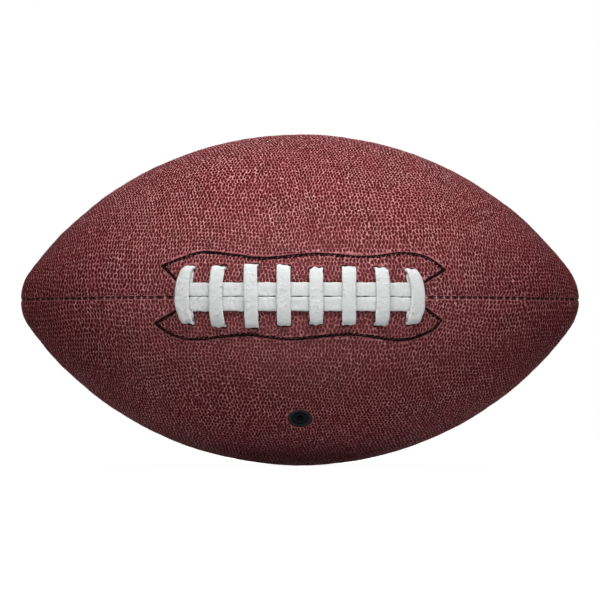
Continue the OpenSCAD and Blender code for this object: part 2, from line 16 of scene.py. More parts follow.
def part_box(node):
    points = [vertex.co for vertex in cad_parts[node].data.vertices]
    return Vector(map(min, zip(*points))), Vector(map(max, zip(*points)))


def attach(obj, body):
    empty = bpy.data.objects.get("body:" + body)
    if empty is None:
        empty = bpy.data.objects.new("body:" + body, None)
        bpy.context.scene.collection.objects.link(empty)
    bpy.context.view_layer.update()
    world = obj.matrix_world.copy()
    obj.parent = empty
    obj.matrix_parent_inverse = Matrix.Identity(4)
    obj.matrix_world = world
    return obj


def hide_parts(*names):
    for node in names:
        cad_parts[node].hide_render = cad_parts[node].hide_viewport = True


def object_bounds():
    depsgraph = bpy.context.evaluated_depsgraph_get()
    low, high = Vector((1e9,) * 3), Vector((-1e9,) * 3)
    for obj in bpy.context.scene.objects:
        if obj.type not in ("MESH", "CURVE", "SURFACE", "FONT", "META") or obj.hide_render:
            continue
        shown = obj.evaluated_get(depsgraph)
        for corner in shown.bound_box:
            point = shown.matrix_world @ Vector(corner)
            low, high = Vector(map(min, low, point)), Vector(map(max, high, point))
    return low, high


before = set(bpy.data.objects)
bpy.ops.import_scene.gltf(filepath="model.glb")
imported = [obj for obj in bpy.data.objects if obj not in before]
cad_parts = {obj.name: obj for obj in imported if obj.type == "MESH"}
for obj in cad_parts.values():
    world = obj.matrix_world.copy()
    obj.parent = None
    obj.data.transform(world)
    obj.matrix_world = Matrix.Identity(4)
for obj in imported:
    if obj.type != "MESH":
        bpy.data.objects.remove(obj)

MM = 0.001
CAD_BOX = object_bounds()

# Noise and meshing: spread of a wave's size, least length, least area and reach of the triangulation
WAVE_SPREAD = (0.7, 1.5)
TINY = 1e-9
LEAST_AREA = 1e-4
MERGE_AT = 1e-5

# Sizes taken from the frame
PANEL_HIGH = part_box("panel_upper_front")[1]
HALF_L = PANEL_HIGH.x / MM
BALL_R = PANEL_HIGH.z / MM

# Outline of the ball: a long arc on each side and a tip arc
TIP_R = 25.4
TIP_X = HALF_L - TIP_R
SIDE_R = (TIP_X**2 + BALL_R**2 - TIP_R**2) / (2 * (BALL_R - TIP_R))
SIDE_DROP = SIDE_R - BALL_R
JOIN_A = math.atan(TIP_X / SIDE_DROP)
SIDE_L = SIDE_R * JOIN_A

# Cover: thickness, width of the turned-in edges, half angle of a panel, radius left open at the tips
PANEL_T = 1.6
SEAM_ALLOWANCE = 5.0
QUARTER = math.pi / 4
TIP_OPEN = 0.9
# Seams: half the gap where the edges touch, how much more they gape, and the bridges between the edges
SEAM_EDGE = 0.07
SEAM_OPEN = 0.5
BRIDGE_PITCH = 4.1
BRIDGE_HALF_W = (0.2, 0.6)
# Drifts of the bridges' spacing: size, length and start
BRIDGE_DRIFTS = ((0.3, 7.3, 0.0), (0.12, 3.1, 1.0))
# How firmly the bridges hold: middle, spread and least, and what tells one from the next
BRIDGE_HOLD = (0.95, 0.5, 0.8)
BRIDGE_MIX = 2.3
# Groove of a seam, its share of depth at a bridge, and the rounding of the cover beside it, wide and narrow
GROOVE_W = 0.75
GROOVE_H = 0.85
BRIDGE_H_SHARE = 0.2
PILLOW_H = 0.45
PILLOW_W = 7.0
ROLL_H = 0.4
ROLL_W = 1.4
# Swells of the cover: size, height and seed
SWELLS = ((9.0, 0.05, 11), (28.0, 0.1, 12))
SWELL_COUNT = 8

# Mesh of the cover: steps and distances from its edges
EDGE_STEP = 0.4
SQUEEZE_AT = 2.0
TIP_CLEAR = 2.0
INNER_STEP = 7.0
INNER_EDGE = 5.5
INNER_CLEAR = 7.5
NEAR_HOLE = 12.0
EDGE_SLACK = 0.01
WALL_SLACK = 0.1
HOLE_RING = 0.4
KEEP_CLEAR = 0.05
# Walls of a panel: depth of its inner face, radii where the turned-in edge starts and is whole, and for each
# ring its distance from the seam, whether it is at the fold, and its share of the depth of a hole
INNER_T = PANEL_T + 0.05
FOLD_AT = (9.0, 18.0)
WALL_RINGS = ((0.0, 1, 0.4), (PANEL_T, 1, 0.6), (PANEL_T + 0.3, 0, 1.03))
AWAY_SHARE = 0.55
INNER_BACK = 0.4
INNER_SHARE = 0.35

# Grain: depth of the pits, their spacing along and across the panel, near the lace seam and away from it
PIT_H = 0.3
PIT_DEPTH = (0.75, 1.1)
PIT_STEP_SEAM = (1.8, 2.35)
PIT_STEP = (1.64, 2.2)
PIT_SHEAR = 0.66
PIT_REACH = (10.0, 30.0)
PIT_JITTER = 0.13
JITTER_MOST = 0.3
ROW_SHIFT = 0.06
# Bend of the rows: height, size, count of waves and seed
PIT_BEND = 1.7
PIT_BEND_SIZE = 60.0
PIT_BEND_WAVES = 4
PIT_BEND_SEED = 5
# Pits that run together in the steep direction, with painted shade between them, and the ridges' painted
# sheen: mean, spread
PIT_JOIN_SHARE = 0.6
JOIN_STEEP = 1.5
JOIN_DEPTH = (0.05, 0.4)
JOIN_SHADE = 0.6
RIDGE_SHEEN_RANDOM = (0.49, 0.28)
PIT_CLEAR = 0.65
LINE_PIT_CLEAR = 0.6
# First pits beside a seam: distance from its edge on the lower front panel and elsewhere, shares of the way
# between two bridges, and room kept for them
SEAM_PIT_AT = (1.15, 0.75)
SEAM_PIT_SHARES = (0.25, 0.75)
SEAM_PIT_ROOM = 1.45
SEAM_PIT_SHIFT = 0.12
SEAM_PIT_DRIFT = (-0.2, 0.4)
SEAM_SAMPLES = 4000
OPEN_PIT = 0.8
HALF_OPEN = 0.5
# Distances from a seam where its bridges' painted sheen and its ridges' painted shade end, and the painted
# shade in its gaps
BRIDGE_SHEEN_AT = (0.3, 1.0)
SEAM_SHADE_AT = (-0.6, 1.5)
SEAM_GAP_SHADE_AT = (SEAM_EDGE + SEAM_OPEN, 0.8)
# Painted shade on the ridges towards the tips: strength, and where along the outline it starts and is darkest
TIP_SHADE = 0.4
TIP_SHADE_AT = (70.0, 155.0)
# Flatter grain round the lace: strength, reach along and around the ball, and its middle below the seam
FLAT = 0.4
FLAT_REACH = (85.0, 36.0)
FLAT_LOW = 9.0

# Lace: holes, bars, strands and runs inside
LACE_PAIRS = 8
LACE_PITCH = 16.0
LACE_END = 54.9
LACE_W = 7.0
LACE_T = 1.5
LACE_GAP = 0.45
LACE_FLOAT = 0.2
STRAND_GAP = 0.16
LACE_STEP = 0.5
UPPER_ROW = (14.0, 14.6, 15.6, 15.0, 13.7, 14.6, 13.9, 12.4)
LOWER_ROW = (11.8, 14.3, 14.8, 13.8, 13.1, 13.4, 13.6, 12.0)
INNER_ROW = 14.2
LACE_HOLE_W = 6.6
LACE_RUN_W = 5.6
LACE_END_W = 3.9
ROOT_W = 4.4
END_APART = 0.8
BAR_END_X = 55.2
ROOT_X = 55.1
TAIL_L = 6.5
# Slots in the cover: width and thickness, and how far each is pulled in towards the seam
SLOT = (7.5, 2.4)
SLOT_ARC = 7
SLOT_STEP = 0.7
END_SLOT = (5.8, 3.5)
SLOT_PULL = 0.45
END_SLOT_PULL = 0.15
OPEN_SLOTS = (1, LACE_PAIRS - 1)
SLOT_DIMPLE = 0.3
SLOT_DIMPLE_W = 3.2
# Distances of a bar's stations from its hole, and its middle's heights there for full bars and end bars
RISE_AT = (0.0, 0.4, 1.5, 3.2, 5.4, 7.5, 10.0)
BAR_RISE = (-0.1, 1.6, 2.25, 2.55, 2.8, 2.9, 2.9)
END_RISE = (-0.1, 1.9, 2.6, 2.85, 2.95, 3.05, 3.05)
ROOT_RISE = ((0.0, -0.1), (0.6, 0.7), (1.9, 0.95))
# How fast a strand widens from its hole, and up to what distance
ROOT_GROWTH = (0.4, 2)
# Way through a hole: distance and height at its top, height at its middle, and how it turns inside
HOLE_TOP = (0.1, -1.1)
HOLE_MIDDLE_H = -2.2
HOLE_TURN = (0.5, 0.9)
HOLE_OUT = 1.6
# Inner runs: how far they are tucked in from the holes, their middle stations, and the widths of the ends
TUCK = 2.5
RUN_SHARES = (0.3, 0.5, 0.7)
TAIL_W = 4.0
LAST_TAIL_W = 4.2
# Half-moon of an end bar: share of the way from its upper hole to its lower one, outer edge and inner edge
MOON = (
    (0.0, 54.9, 52.0), (0.02, 55.9, 52.1), (0.05, 57.2, 52.3), (0.106, 58.8, 52.8), (0.25, 60.5, 53.8),
    (0.36, 61.1, 54.0), (0.47, 61.4, 54.1), (0.6, 61.4, 54.1), (0.71, 61.1, 54.0), (0.82, 60.3, 53.5),
    (0.91, 59.2, 52.8), (0.96, 58.4, 52.5), (1.0, 57.3, 52.4),
)
# Distances from a hole over which a full bar widens, and how some of them bow and lean
BAR_EASE = (0.5, 4.0)
BAR_BOWS = {1: -1.3, LACE_PAIRS - 2: 0.7}
BAR_LEANS = {2: 0.35, 3: 0.15}
# Where a strand turns flat round its inner corner into the end hole
CORNER_X = 52.8
CORNER_IN = 0.15
CORNER_R = ((0.0, 2.7), (0.5, 3.5), (0.75, 3.75), (1.0, 3.65))
CORNER_POINTS = 5
STRAND_END = 2
STRAND_POINTS = 12
# Cross-section of the lace: points of a face, its half width, and shares and powers of its rounding
SECTION_POINTS = 11
FACE_SHARE = 0.985
FACE_POWER = 0.85
CROWN_SHARE = 0.3
CROWN_POWER = 4
SIDE_SHARE = 0.35
# Slope and height between which the lace dives into a hole
STEEP_AT = (0.25, 0.8)
STEEP_H = (-2.2, -0.6)
# Unevenness of the lace, each as height, count of waves and their size
LACE_BUMPS = (0.05, 12, 2.6)
LACE_LUMPS = (0.06, 8, 6.0)
LACE_PINCH = (0.035, 8, 5.0)
LACE_DRIFT = (0.05, 8, 11.0)
LACE_RAGS = (0.3, 9, 3.4)
LACE_SLANT = (0.1, 8, 14.0)
RAG_LENGTH = 9
BUMP_STRETCH = 1.3
LACE_SEED = 21
ROUTE_STEPS = 6

# Facing outlines: shares of their half length and height, seen from the front
FACING_HALF = 72.0
FACING_H = 22.0
OUTLINE_UPPER_SHARES = (
    (-0.85, 0.36), (-0.96, 0.72), (-0.84, 0.87), (-0.67, 1.03), (-0.46, 0.96), (-0.24, 0.89), (0.1, 0.98),
    (0.46, 0.915), (0.71, 1.01), (0.88, 0.91), (1.01, 0.63), (0.86, 0.34),
)
OUTLINE_LOWER_SHARES = (
    (-0.86, 0.31), (-1.01, 0.58), (-0.94, 0.76), (-0.84, 0.91), (-0.7, 0.965), (-0.375, 0.87), (-0.06, 0.965),
    (0.34, 0.86), (0.7, 0.98), (0.9, 0.78), (0.985, 0.52), (0.86, 0.22),
)
OUTLINE_STEPS = 10
OUTLINE_STEP = 0.5
# Stitch line on the cover: groove, banks, mesh, and the painted shade on the ridges and on the cover at it
# and at a hole
LINE_GROOVE = (0.3, 0.5)
LINE_BANK = (0.1, 1.2, 0.7)
LINE_STEP = 0.9
LINE_SIDE = 0.45
LINE_RIDGE_SHADE = 0.6
HOLE_RIDGE_SHADE = 0.6
RIDGE_SHADE_W = 1.0
LINE_EDGE_SHADE = (0.65, 0.5)
HOLE_EDGE_SHADE = (0.9, 0.6)
# Swell over the facing, and where it rises beside the stitches and the lace seam
FACING_SWELL = 0.32
SWELL_BY_LINE = (0.3, 3.0)
SWELL_BY_SEAM = (1.5, 5.0)
# Stitches on the facing: length, thread, distance of the second rows, depth of the facing's inner side,
# reach and easing of the second rows in points, and how far under the facing the inner run lies
FACING_STITCH = 2.6
FACING_THREAD_D = 0.62
FACING_SECOND = 0.85
FACING_LOW = 3.6
SECOND_OVER = 12
SECOND_EASE = 6
BACK_RUN_LOW = 0.5
# A stitch: points, askew (mean, spread and shift), height (start, crown, dip, its power and spread), radius
# (at the ends, gain and spread), spread of the whole radius, and spread of the cuts
STITCH_POINTS = 9
STITCH_ASKEW = (0.12, 0.1, 0.05)
STITCH_H = (0.02, 0.1, 0.9, 7, 0.04)
STITCH_R = (0.8, 0.2, 0.07)
STITCH_FAT = (0.9, 1.45)
CUT_SPREAD = 0.15
STITCH_SEED = 31

# Valve
VALVE_A = math.radians(46)
VALVE_HOLE_R = 5.8
VALVE_POINTS = 60
# Rounded lip of every hole in the cover: depth and width
HOLE_LIP = (0.3, 0.6)

# Camera, lights and floor; positions in metres, sizes in metres and powers in watts
CAMERA_FAR = 3.4
CAMERA_RISE = math.radians(-1.1)
VIEW_W = 305.4
SENSOR_W = 36
CAMERA_CLIP = 50
# Soft lights: name, place, size, power and whether the cover mirrors them
LIGHTS = (
    ("upper", (0.0, -0.225, 0.268), (0.26, 0.18), 0.72, True),
    ("upper_right", (0.18, -0.31, 0.34), (0.26, 0.18), 0.77, True),
    ("upper_left", (-0.18, -0.31, 0.34), (0.26, 0.18), 0.57, True),
    ("lower", (0.0, -0.27, -0.08), (0.26, 0.2), 0.13, False),
    ("side", (0.274, -0.752, 0.0), (0.3, 0.3), 0.1, False),
    ("back", (0.0, 1.0, 0.12), (0.9, 0.4), 7.0, False),
)
WORLD_LIGHT = 0.075
WHITE = (1, 1, 1)
# Floor: half size, grey, glow under the ball, and distances between which the glow rises to white
FLOOR_HALF = 6.0
FLOOR_TONE = 0.5
FLOOR_GLOW = 0.85
FLOOR_NEAR = 0.2
FLOOR_FAR = 0.5


def smooth(x, low, high):
    """0 below low and 1 above high, with a smooth step between them."""
    t = np.clip((x - low) / (high - low), 0, 1)
    return t * t * (3 - 2 * t)


def bell(x, size):
    """Bell curve of height 1 around 0."""
    return np.exp(-((x / size) ** 2))


def meridian(u):
    """x, radius and lean of the cover at a distance u along its outline from the middle."""
    far = np.abs(u)
    on_side = far < SIDE_L
    a = np.where(on_side, far / SIDE_R, JOIN_A + (far - SIDE_L) / TIP_R)
    x = np.where(on_side, SIDE_R * np.sin(a), TIP_X + TIP_R * np.sin(a))
    r = np.where(on_side, SIDE_R * np.cos(a) - SIDE_DROP, TIP_R * np.cos(a))
    return np.sign(u) * x, r, np.sign(u) * a


def u_at(x):
    """Distance along the outline at x, on the long arcs."""
    return SIDE_R * np.arcsin(np.asarray(x) / SIDE_R)


def u_of_radius(radius):
    """Distance along the outline where the tip arc has this radius."""
    return SIDE_L + TIP_R * (math.acos(radius / TIP_R) - JOIN_A)


def cover_point(u, turn, h):
    """Point h above the cover, at u along its outline and turned up from the lace seam."""
    x, r, a = meridian(u)
    far = r + h * np.cos(a)
    return np.stack([x + h * np.sin(a), -far * np.cos(turn), far * np.sin(turn)], -1)


def cover_axes(u, turn):
    """Directions along the ball, around it and out of the cover."""
    a = meridian(u)[2]
    zero = np.zeros_like(a)
    along = np.stack([np.cos(a), np.sin(a) * np.cos(turn), -np.sin(a) * np.sin(turn)], -1)
    around = np.stack([zero, np.sin(turn) + zero, np.cos(turn) + zero], -1)
    out = np.stack([np.sin(a), -np.cos(a) * np.cos(turn), np.cos(a) * np.sin(turn)], -1)
    return along, around, out


def seam_phase(u):
    """Count of the bridges over a seam up to u, whole at the middle of each."""
    phase = u / BRIDGE_PITCH
    for size, length, start in BRIDGE_DRIFTS:
        phase = phase + size * np.sin(u / length + start)
    return phase


def seam_open(u):
    """How far a seam gapes along its length, from 0 where its edges touch to 1."""
    phase = seam_phase(u)
    number = np.round(phase)
    middle, spread, least = BRIDGE_HOLD
    hold = np.clip(middle + spread * np.sin(BRIDGE_MIX * number * number + number), least, 1)
    return 1 - hold * (1 - smooth(np.abs(phase - number) * BRIDGE_PITCH, *BRIDGE_HALF_W))


def waves(p, rng, count, size):
    """Smooth noise between about -1 and 1 over points in two or three dimensions."""
    total = np.zeros(len(p))
    for _ in range(count):
        k = rng.normal(size=p.shape[1])
        k *= 2 * math.pi / (size * rng.uniform(*WAVE_SPREAD) * np.linalg.norm(k))
        total += np.sin(p @ k + rng.uniform(0, 2 * math.pi))
    return total / math.sqrt(count)


def line_distance(p, line, closed, reach):
    """Distance from points to a line of points, looked for only near the line's box."""
    best = np.full(len(p), reach)
    near = ((p > line.min(0) - reach) & (p < line.max(0) + reach)).all(1)
    q = p[near]
    found = best[near]
    ends = np.roll(line, -1, 0) if closed else line[1:]
    for a, b in zip(line, ends):
        t = np.clip(((q - a) @ (b - a)) / ((b - a) @ (b - a)), 0, 1)
        found = np.minimum(found, np.linalg.norm(q - a - t[:, None] * (b - a), axis=1))
    best[near] = found
    return best


def inside(p, loop):
    """Which points lie inside a closed line."""
    found = np.zeros(len(p), bool)
    near = ((p >= loop.min(0)) & (p <= loop.max(0))).all(1)
    x, y = p[near].T
    hits = found[near]
    for (ax, ay), (bx, by) in zip(loop, np.roll(loop, -1, 0)):
        crossing = (ay > y) != (by > y)
        with np.errstate(divide="ignore", invalid="ignore"):
            hits ^= crossing & (x < (bx - ax) * (y - ay) / (by - ay) + ax)
    found[near] = hits
    return found


def distances_along(points):
    """Distance of each point of a line from its start."""
    return np.concatenate([[0], np.cumsum(np.linalg.norm(np.diff(points, axis=0), axis=1))])


def resample(points, step):
    """Points at even steps along a line, ends kept."""
    points = np.asarray(points, float)
    far = distances_along(points)
    at = np.linspace(0, far[-1], max(2, round(far[-1] / step) + 1))
    return np.stack([np.interp(at, far, c) for c in points.T], -1)


def normals_of(line):
    """Unit vectors across a line in the plane."""
    along = np.gradient(line, axis=0)
    across = np.stack([-along[:, 1], along[:, 0]], -1)
    return across / np.maximum(np.linalg.norm(across, axis=1), TINY)[:, None]


def spline(points, steps):
    """Smooth curve through points, with a number of steps between each pair."""
    p = np.asarray(points, float)
    p = np.concatenate([[2 * p[0] - p[1]], p, [2 * p[-1] - p[-2]]])
    u = np.linspace(0, 1, steps, endpoint=False)[:, None]
    out = [0.5 * (2 * b + (c - a) * u + (2 * a - 5 * b + 4 * c - d) * u**2 + (3 * b - a - 3 * c + d) * u**3)
           for a, b, c, d in zip(p, p[1:], p[2:], p[3:])]
    return np.concatenate(out + [p[-2:-1]])


def make_mesh(name, verts, faces):
    """Smooth object from vertices in millimetres and faces."""
    mesh = bpy.data.meshes.new(name)
    mesh.from_pydata((np.asarray(verts) * MM).tolist(), [], [list(map(int, f)) for f in faces])
    mesh.polygons.foreach_set("use_smooth", [True] * len(mesh.polygons))
    mesh.validate()
    mesh.update()
    obj = bpy.data.objects.new(name, mesh)
    bpy.context.scene.collection.objects.link(obj)
    return obj


def float_attribute(obj, name, values):
    layer = obj.data.attributes.new(name, "FLOAT", "POINT")
    layer.data.foreach_set("value", np.asarray(values, np.float32))


def triangulate(points, edges):
    """Counter-clockwise triangles between flat points, as numbers of the points, with the edges kept."""
    found = delaunay_2d_cdt([Vector(p) for p in points], edges, [], 0, MERGE_AT)
    number = np.array([ids[0] if ids else -1 for ids in found[3]])
    tris = number[np.array(found[2])]
    tris = tris[(tris >= 0).all(1)]
    corner = points[tris]
    area = np.cross(corner[:, 1] - corner[:, 0], corner[:, 2] - corner[:, 0])
    tris[area < 0] = tris[area < 0][:, ::-1]
    return tris[np.abs(area) > LEAST_AREA]


# Places of the lace holes, the outlines and the slots


def hole_x(i):
    """Place of a lace hole along the ball."""
    if is_end(i):
        return -LACE_END if i == 0 else LACE_END
    return (i - (LACE_PAIRS - 1) / 2) * LACE_PITCH


def is_end(i):
    return i in (0, LACE_PAIRS - 1)


def outline_on_cover(side):
    """Stitched outline above (1) or below (-1) the lace, as points u, s from left to right."""
    shares = np.array(OUTLINE_UPPER_SHARES if side > 0 else OUTLINE_LOWER_SHARES)
    curve = spline(shares[1:-1], OUTLINE_STEPS)
    front = np.concatenate([shares[:1], curve, shares[-1:]]) * (FACING_HALF, FACING_H)
    u = u_at(front[:, 0])
    r = meridian(u)[1]
    return resample(np.stack([u, side * r * np.arcsin(front[:, 1] / r)], -1), OUTLINE_STEP)


def slot_loop(u, v, width, thick):
    """Closed line of a slot with round ends, along u."""
    r = thick / 2
    arc = np.linspace(-math.pi / 2, math.pi / 2, SLOT_ARC)
    right = np.stack([width / 2 - r + r * np.cos(arc), r * np.sin(arc)], -1)
    loop = np.concatenate([right, -right])
    return resample(np.concatenate([loop, loop[:1]]), SLOT_STEP)[:-1] + (u, v)


class Panel:
    """A panel: its seams, holes and stitch line on its own u and v, and the piece made from them.

    lace_side is the side of the panel in v, -1 or 1, where the lace seam runs, or 0 without it."""

    def __init__(self, name, turn_mid, lace_side, seed):
        self.name = name
        self.turn_mid = turn_mid
        self.lace_side = lace_side
        self.rng = np.random.default_rng(seed)
        self.u_end = u_of_radius(TIP_OPEN)
        self.holes = []
        self.line = None
        self.valve = None
        self.pit_at = SEAM_PIT_AT[0] if lace_side > 0 else SEAM_PIT_AT[1]
        if lace_side:
            self.add_slots()
            self.add_outline()
        if name == "panel_lower_front":
            self.add_valve()

    def v_of(self, u, s):
        """v of a place given by its distance s from the lace seam."""
        return s - meridian(np.asarray(u, float))[1] * self.turn_mid

    def border(self, u):
        """Half of the panel's width at u."""
        return meridian(u)[1] * QUARTER

    def seam_distance(self, u, v):
        return np.maximum(self.border(u) - np.abs(v), 0)

    def add_slots(self):
        """Slots of the lace, each pulled in towards the seam, so that its bar covers the outer edge."""
        for i, row in enumerate(UPPER_ROW if self.lace_side < 0 else LOWER_ROW):
            pull = END_SLOT_PULL if is_end(i) else SLOT_PULL
            if i in OPEN_SLOTS and self.lace_side < 0:
                pull = 0
            u = float(u_at(hole_x(i)))
            v = float(self.v_of(u, -self.lace_side * (row - pull)))
            self.holes.append(slot_loop(u, v, *(END_SLOT if is_end(i) else SLOT)))

    def add_outline(self):
        """Stitch line, and the loop between it and the lace seam that the facing swells."""
        self.line = outline_on_cover(-self.lace_side)
        self.line[:, 1] = self.v_of(self.line[:, 0], self.line[:, 1])
        ends = self.line[[-1, 0]].copy()
        ends[:, 1] = self.lace_side * self.border(ends[:, 0])
        self.loop = np.concatenate([self.line, ends])

    def add_valve(self):
        self.valve = np.array([0.0, float(self.v_of(0.0, -VALVE_A * BALL_R))])
        ring = np.linspace(0, 2 * math.pi, VALVE_POINTS, endpoint=False)
        self.holes.append(self.valve + VALVE_HOLE_R * np.stack([np.cos(ring), np.sin(ring)], -1))

    def to_holes(self, p):
        """Distances from points to the edge of each hole."""
        return [line_distance(p, hole, True, NEAR_HOLE) for hole in self.holes]

    def to_line(self, p):
        """Distances from points to the stitch line."""
        return line_distance(p, self.line, False, NEAR_HOLE)

    def relief(self, u, v, pit):
        """Height of the cover over its plain outline."""
        p = np.stack([u, v], -1)
        d = self.seam_distance(u, v)
        near = np.clip(1 - d / GROOVE_W, 0, 1)
        deep = GROOVE_H * (BRIDGE_H_SHARE + (1 - BRIDGE_H_SHARE) * seam_open(u))
        h = -deep * (1 - np.sqrt(1 - near**2)) - PILLOW_H * np.exp(-d / PILLOW_W)
        h -= ROLL_H * np.exp(-d / ROLL_W) + PIT_H * pit
        for size, height, seed in SWELLS:
            h += height * waves(p, np.random.default_rng(seed), SWELL_COUNT, size)
        if self.line is not None:
            h += self.line_relief(p)
        for t in self.to_holes(p):
            lip = HOLE_LIP[0] * np.clip(1 - t / HOLE_LIP[1], 0, 1) ** 2
            h -= lip + SLOT_DIMPLE * bell(t, SLOT_DIMPLE_W)
        return h

    def line_relief(self, p):
        """Groove of the stitch line with its low banks, and the swell over the facing beside the lace."""
        t = self.to_line(p)
        h = -LINE_GROOVE[0] * bell(t, LINE_GROOVE[1]) + LINE_BANK[0] * bell(t - LINE_BANK[1], LINE_BANK[2])
        to_lace = np.abs(p[:, 1] - self.lace_side * self.border(p[:, 0]))
        swell = FACING_SWELL * smooth(t, *SWELL_BY_LINE) * smooth(to_lace, *SWELL_BY_SEAM)
        return h + np.where(inside(p, self.loop), swell, 0)

    def border_loop(self):
        """The border as a closed line, a little inside the seams' planes."""
        u = np.linspace(-self.u_end, self.u_end, round(2 * self.u_end / EDGE_STEP) + 1)
        border = self.border(u)
        squeeze = np.minimum(1, border / SQUEEZE_AT)
        upper = np.stack([u, border - (SEAM_EDGE + SEAM_OPEN * seam_open(u)) * squeeze], -1)
        return np.concatenate([upper * (1, -1), upper[::-1]])

    def kept_points(self):
        """Points that the mesh keeps besides its pits, the edges it keeps, and how many points these join."""
        loops = [self.border_loop()] + self.holes
        plain = [np.zeros((0, 2))]
        edges, count = [], 0
        for ring in loops:
            edges += [(count + i, count + (i + 1) % len(ring)) for i in range(len(ring))]
            count += len(ring)
        for hole in self.holes:
            centre = hole.mean(0)
            reach = np.linalg.norm(hole - centre, axis=1).max()
            plain.append(centre + (hole - centre) * (1 + HOLE_RING / reach))
        if self.line is not None:
            thin = resample(self.line, LINE_STEP)
            side = LINE_SIDE * normals_of(thin)
            plain += [thin, thin + side, thin - side]
        plain = np.concatenate(plain)
        good = np.ones(len(plain), bool)
        for hole, t in zip(self.holes, self.to_holes(plain)):
            good &= ~(inside(plain, hole) | (t < KEEP_CLEAR))
        return np.concatenate(loops + [plain[good]]), edges

    def seam_pits(self):
        """Row of pits along each seam, close to its edge and two between each pair of bridges."""
        fine = np.linspace(2 * TIP_CLEAR - self.u_end, self.u_end - 2 * TIP_CLEAR, SEAM_SAMPLES)
        phase = seam_phase(fine)
        number = np.arange(math.ceil(phase[0]), math.floor(phase[-1]))
        rows = []
        for side in (-1, 1):
            between = (number[:, None] + SEAM_PIT_SHARES).ravel()
            u = np.interp(between, phase, fine) + self.rng.normal(0, SEAM_PIT_SHIFT, len(between))
            inward = SEAM_EDGE + SEAM_OPEN * seam_open(u) + self.pit_at
            inward += self.rng.uniform(*SEAM_PIT_DRIFT, len(u))
            rows.append(np.stack([u, side * (self.border(u) - inward)], -1))
        return np.concatenate(rows)

    def lattice_pits(self):
        """Pits of the grain in jittered rows along the lace seam, further apart near it."""
        half = BALL_R * QUARTER
        v = -half
        rows = []
        while v < half:
            from_lace = half + self.lace_side * -v
            plain = float(smooth(from_lace, *PIT_REACH)) if self.lace_side else 1.0
            step, row_step = (a + (b - a) * plain for a, b in zip(PIT_STEP_SEAM, PIT_STEP))
            count = int(2 * self.u_end / step)
            shift = self.rng.uniform(-ROW_SHIFT, ROW_SHIFT)
            u = (np.arange(count) - count / 2 + PIT_SHEAR * len(rows) % 1 + shift) * step
            jitter = np.clip(self.rng.normal(0, PIT_JITTER, (count, 2)), -JITTER_MOST, JITTER_MOST)
            rows.append(np.stack([u, np.full(count, v)], -1) + jitter * (step, row_step))
            v += row_step
        points = np.concatenate(rows)
        bend = np.random.default_rng(PIT_BEND_SEED)
        for axis in (1, 0):
            points[:, axis] += PIT_BEND * waves(points, bend, PIT_BEND_WAVES, PIT_BEND_SIZE)
        points[:, 1] -= self.lace_side * (BALL_R - meridian(points[:, 0])[1]) * QUARTER
        return points[self.seam_distance(*points.T) > self.pit_at + SEAM_PIT_ROOM]

    def pits(self):
        """All pits that lie clear of the tips, the holes and the stitch line."""
        points = np.concatenate([self.seam_pits(), self.lattice_pits()])
        good = np.abs(points[:, 0]) < self.u_end - TIP_CLEAR
        good &= self.seam_distance(*points.T) > SEAM_PIT_AT[1]
        for hole, t in zip(self.holes, self.to_holes(points)):
            good &= (t > PIT_CLEAR) & ~inside(points, hole)
        if self.line is not None:
            good &= self.to_line(points) > LINE_PIT_CLEAR
        return points[good]

    def edge_pits(self, kept, pits):
        """How deep kept points lie in pits: a seam's edge opens into the pits beside it."""
        found = np.zeros(len(kept))
        edge = np.flatnonzero(self.seam_distance(*kept.T) < SEAM_EDGE + SEAM_OPEN + EDGE_SLACK)
        beside = pits[self.seam_distance(*pits.T) < self.pit_at + SEAM_PIT_ROOM]
        for i in edge:
            far = np.linalg.norm(beside - kept[i], axis=1).min(initial=NEAR_HOLE)
            found[i] = OPEN_PIT * (far < SEAM_PIT_AT[1] and seam_open(kept[i, 0]) > HALF_OPEN)
        return found

    def build(self):
        kept, edges = self.kept_points()
        pits = self.pits()
        uv = np.concatenate([kept, pits])
        pit = np.concatenate([self.edge_pits(kept, pits), np.ones(len(pits))])
        tris = triangulate(uv, edges)
        centre = uv[tris].mean(1)
        good = self.border(centre[:, 0]) > np.abs(centre[:, 1])
        for hole in self.holes:
            good &= ~inside(centre, hole)
        uv, pit, sheen_and_shade, faces = split_cells(uv, pit, tris[good], self.rng)
        return self.close(uv, pit, sheen_and_shade, faces)

    def rim_of(self, faces, count):
        """Edges of the sheet, along its border and its holes."""
        pairs = np.concatenate([faces[:, [0, 1]], faces[:, [1, 2]], faces[:, [2, 0]]])
        keys = np.sort(pairs, 1)
        _, first, times = np.unique(keys[:, 0] * count + keys[:, 1], return_index=True, return_counts=True)
        return pairs[first[times == 1]]

    def walls(self, u, v):
        """Three rings under the rim: down a seam's turned-in edge and back, or down the wall of a hole."""
        x, r, a = meridian(u)
        on_border = self.border(u) - np.abs(v) < SEAM_EDGE + SEAM_OPEN + WALL_SLACK
        side = np.sign(v)
        laced = (side == self.lace_side) & (np.abs(x) < LACE_END + LACE_W)
        fold = SEAM_ALLOWANCE * smooth(r, *FOLD_AT) * np.where(laced, 0, 1)
        seam = self.turn_mid + side * QUARTER
        turn = self.turn_mid + v / np.maximum(r, TINY)
        rings = []
        for off, folded, share in WALL_RINGS:
            depth = INNER_T + fold * folded
            far = r - depth * np.cos(a)
            away = np.minimum(SEAM_EDGE + off, AWAY_SHARE * np.abs(far))
            px = x - depth * np.sin(a)
            py = -far * np.cos(seam) - side * away * np.sin(seam)
            pz = far * np.sin(seam) - side * away * np.cos(seam)
            on_hole = cover_point(u, turn, np.full(len(u), -PANEL_T * share))
            rings.append(np.where(on_border[:, None], np.stack([px, py, pz], -1), on_hole))
        inner = side * np.maximum(self.border(u) - PANEL_T - INNER_BACK, INNER_SHARE * np.abs(v))
        return rings, np.where(on_border, inner, v)

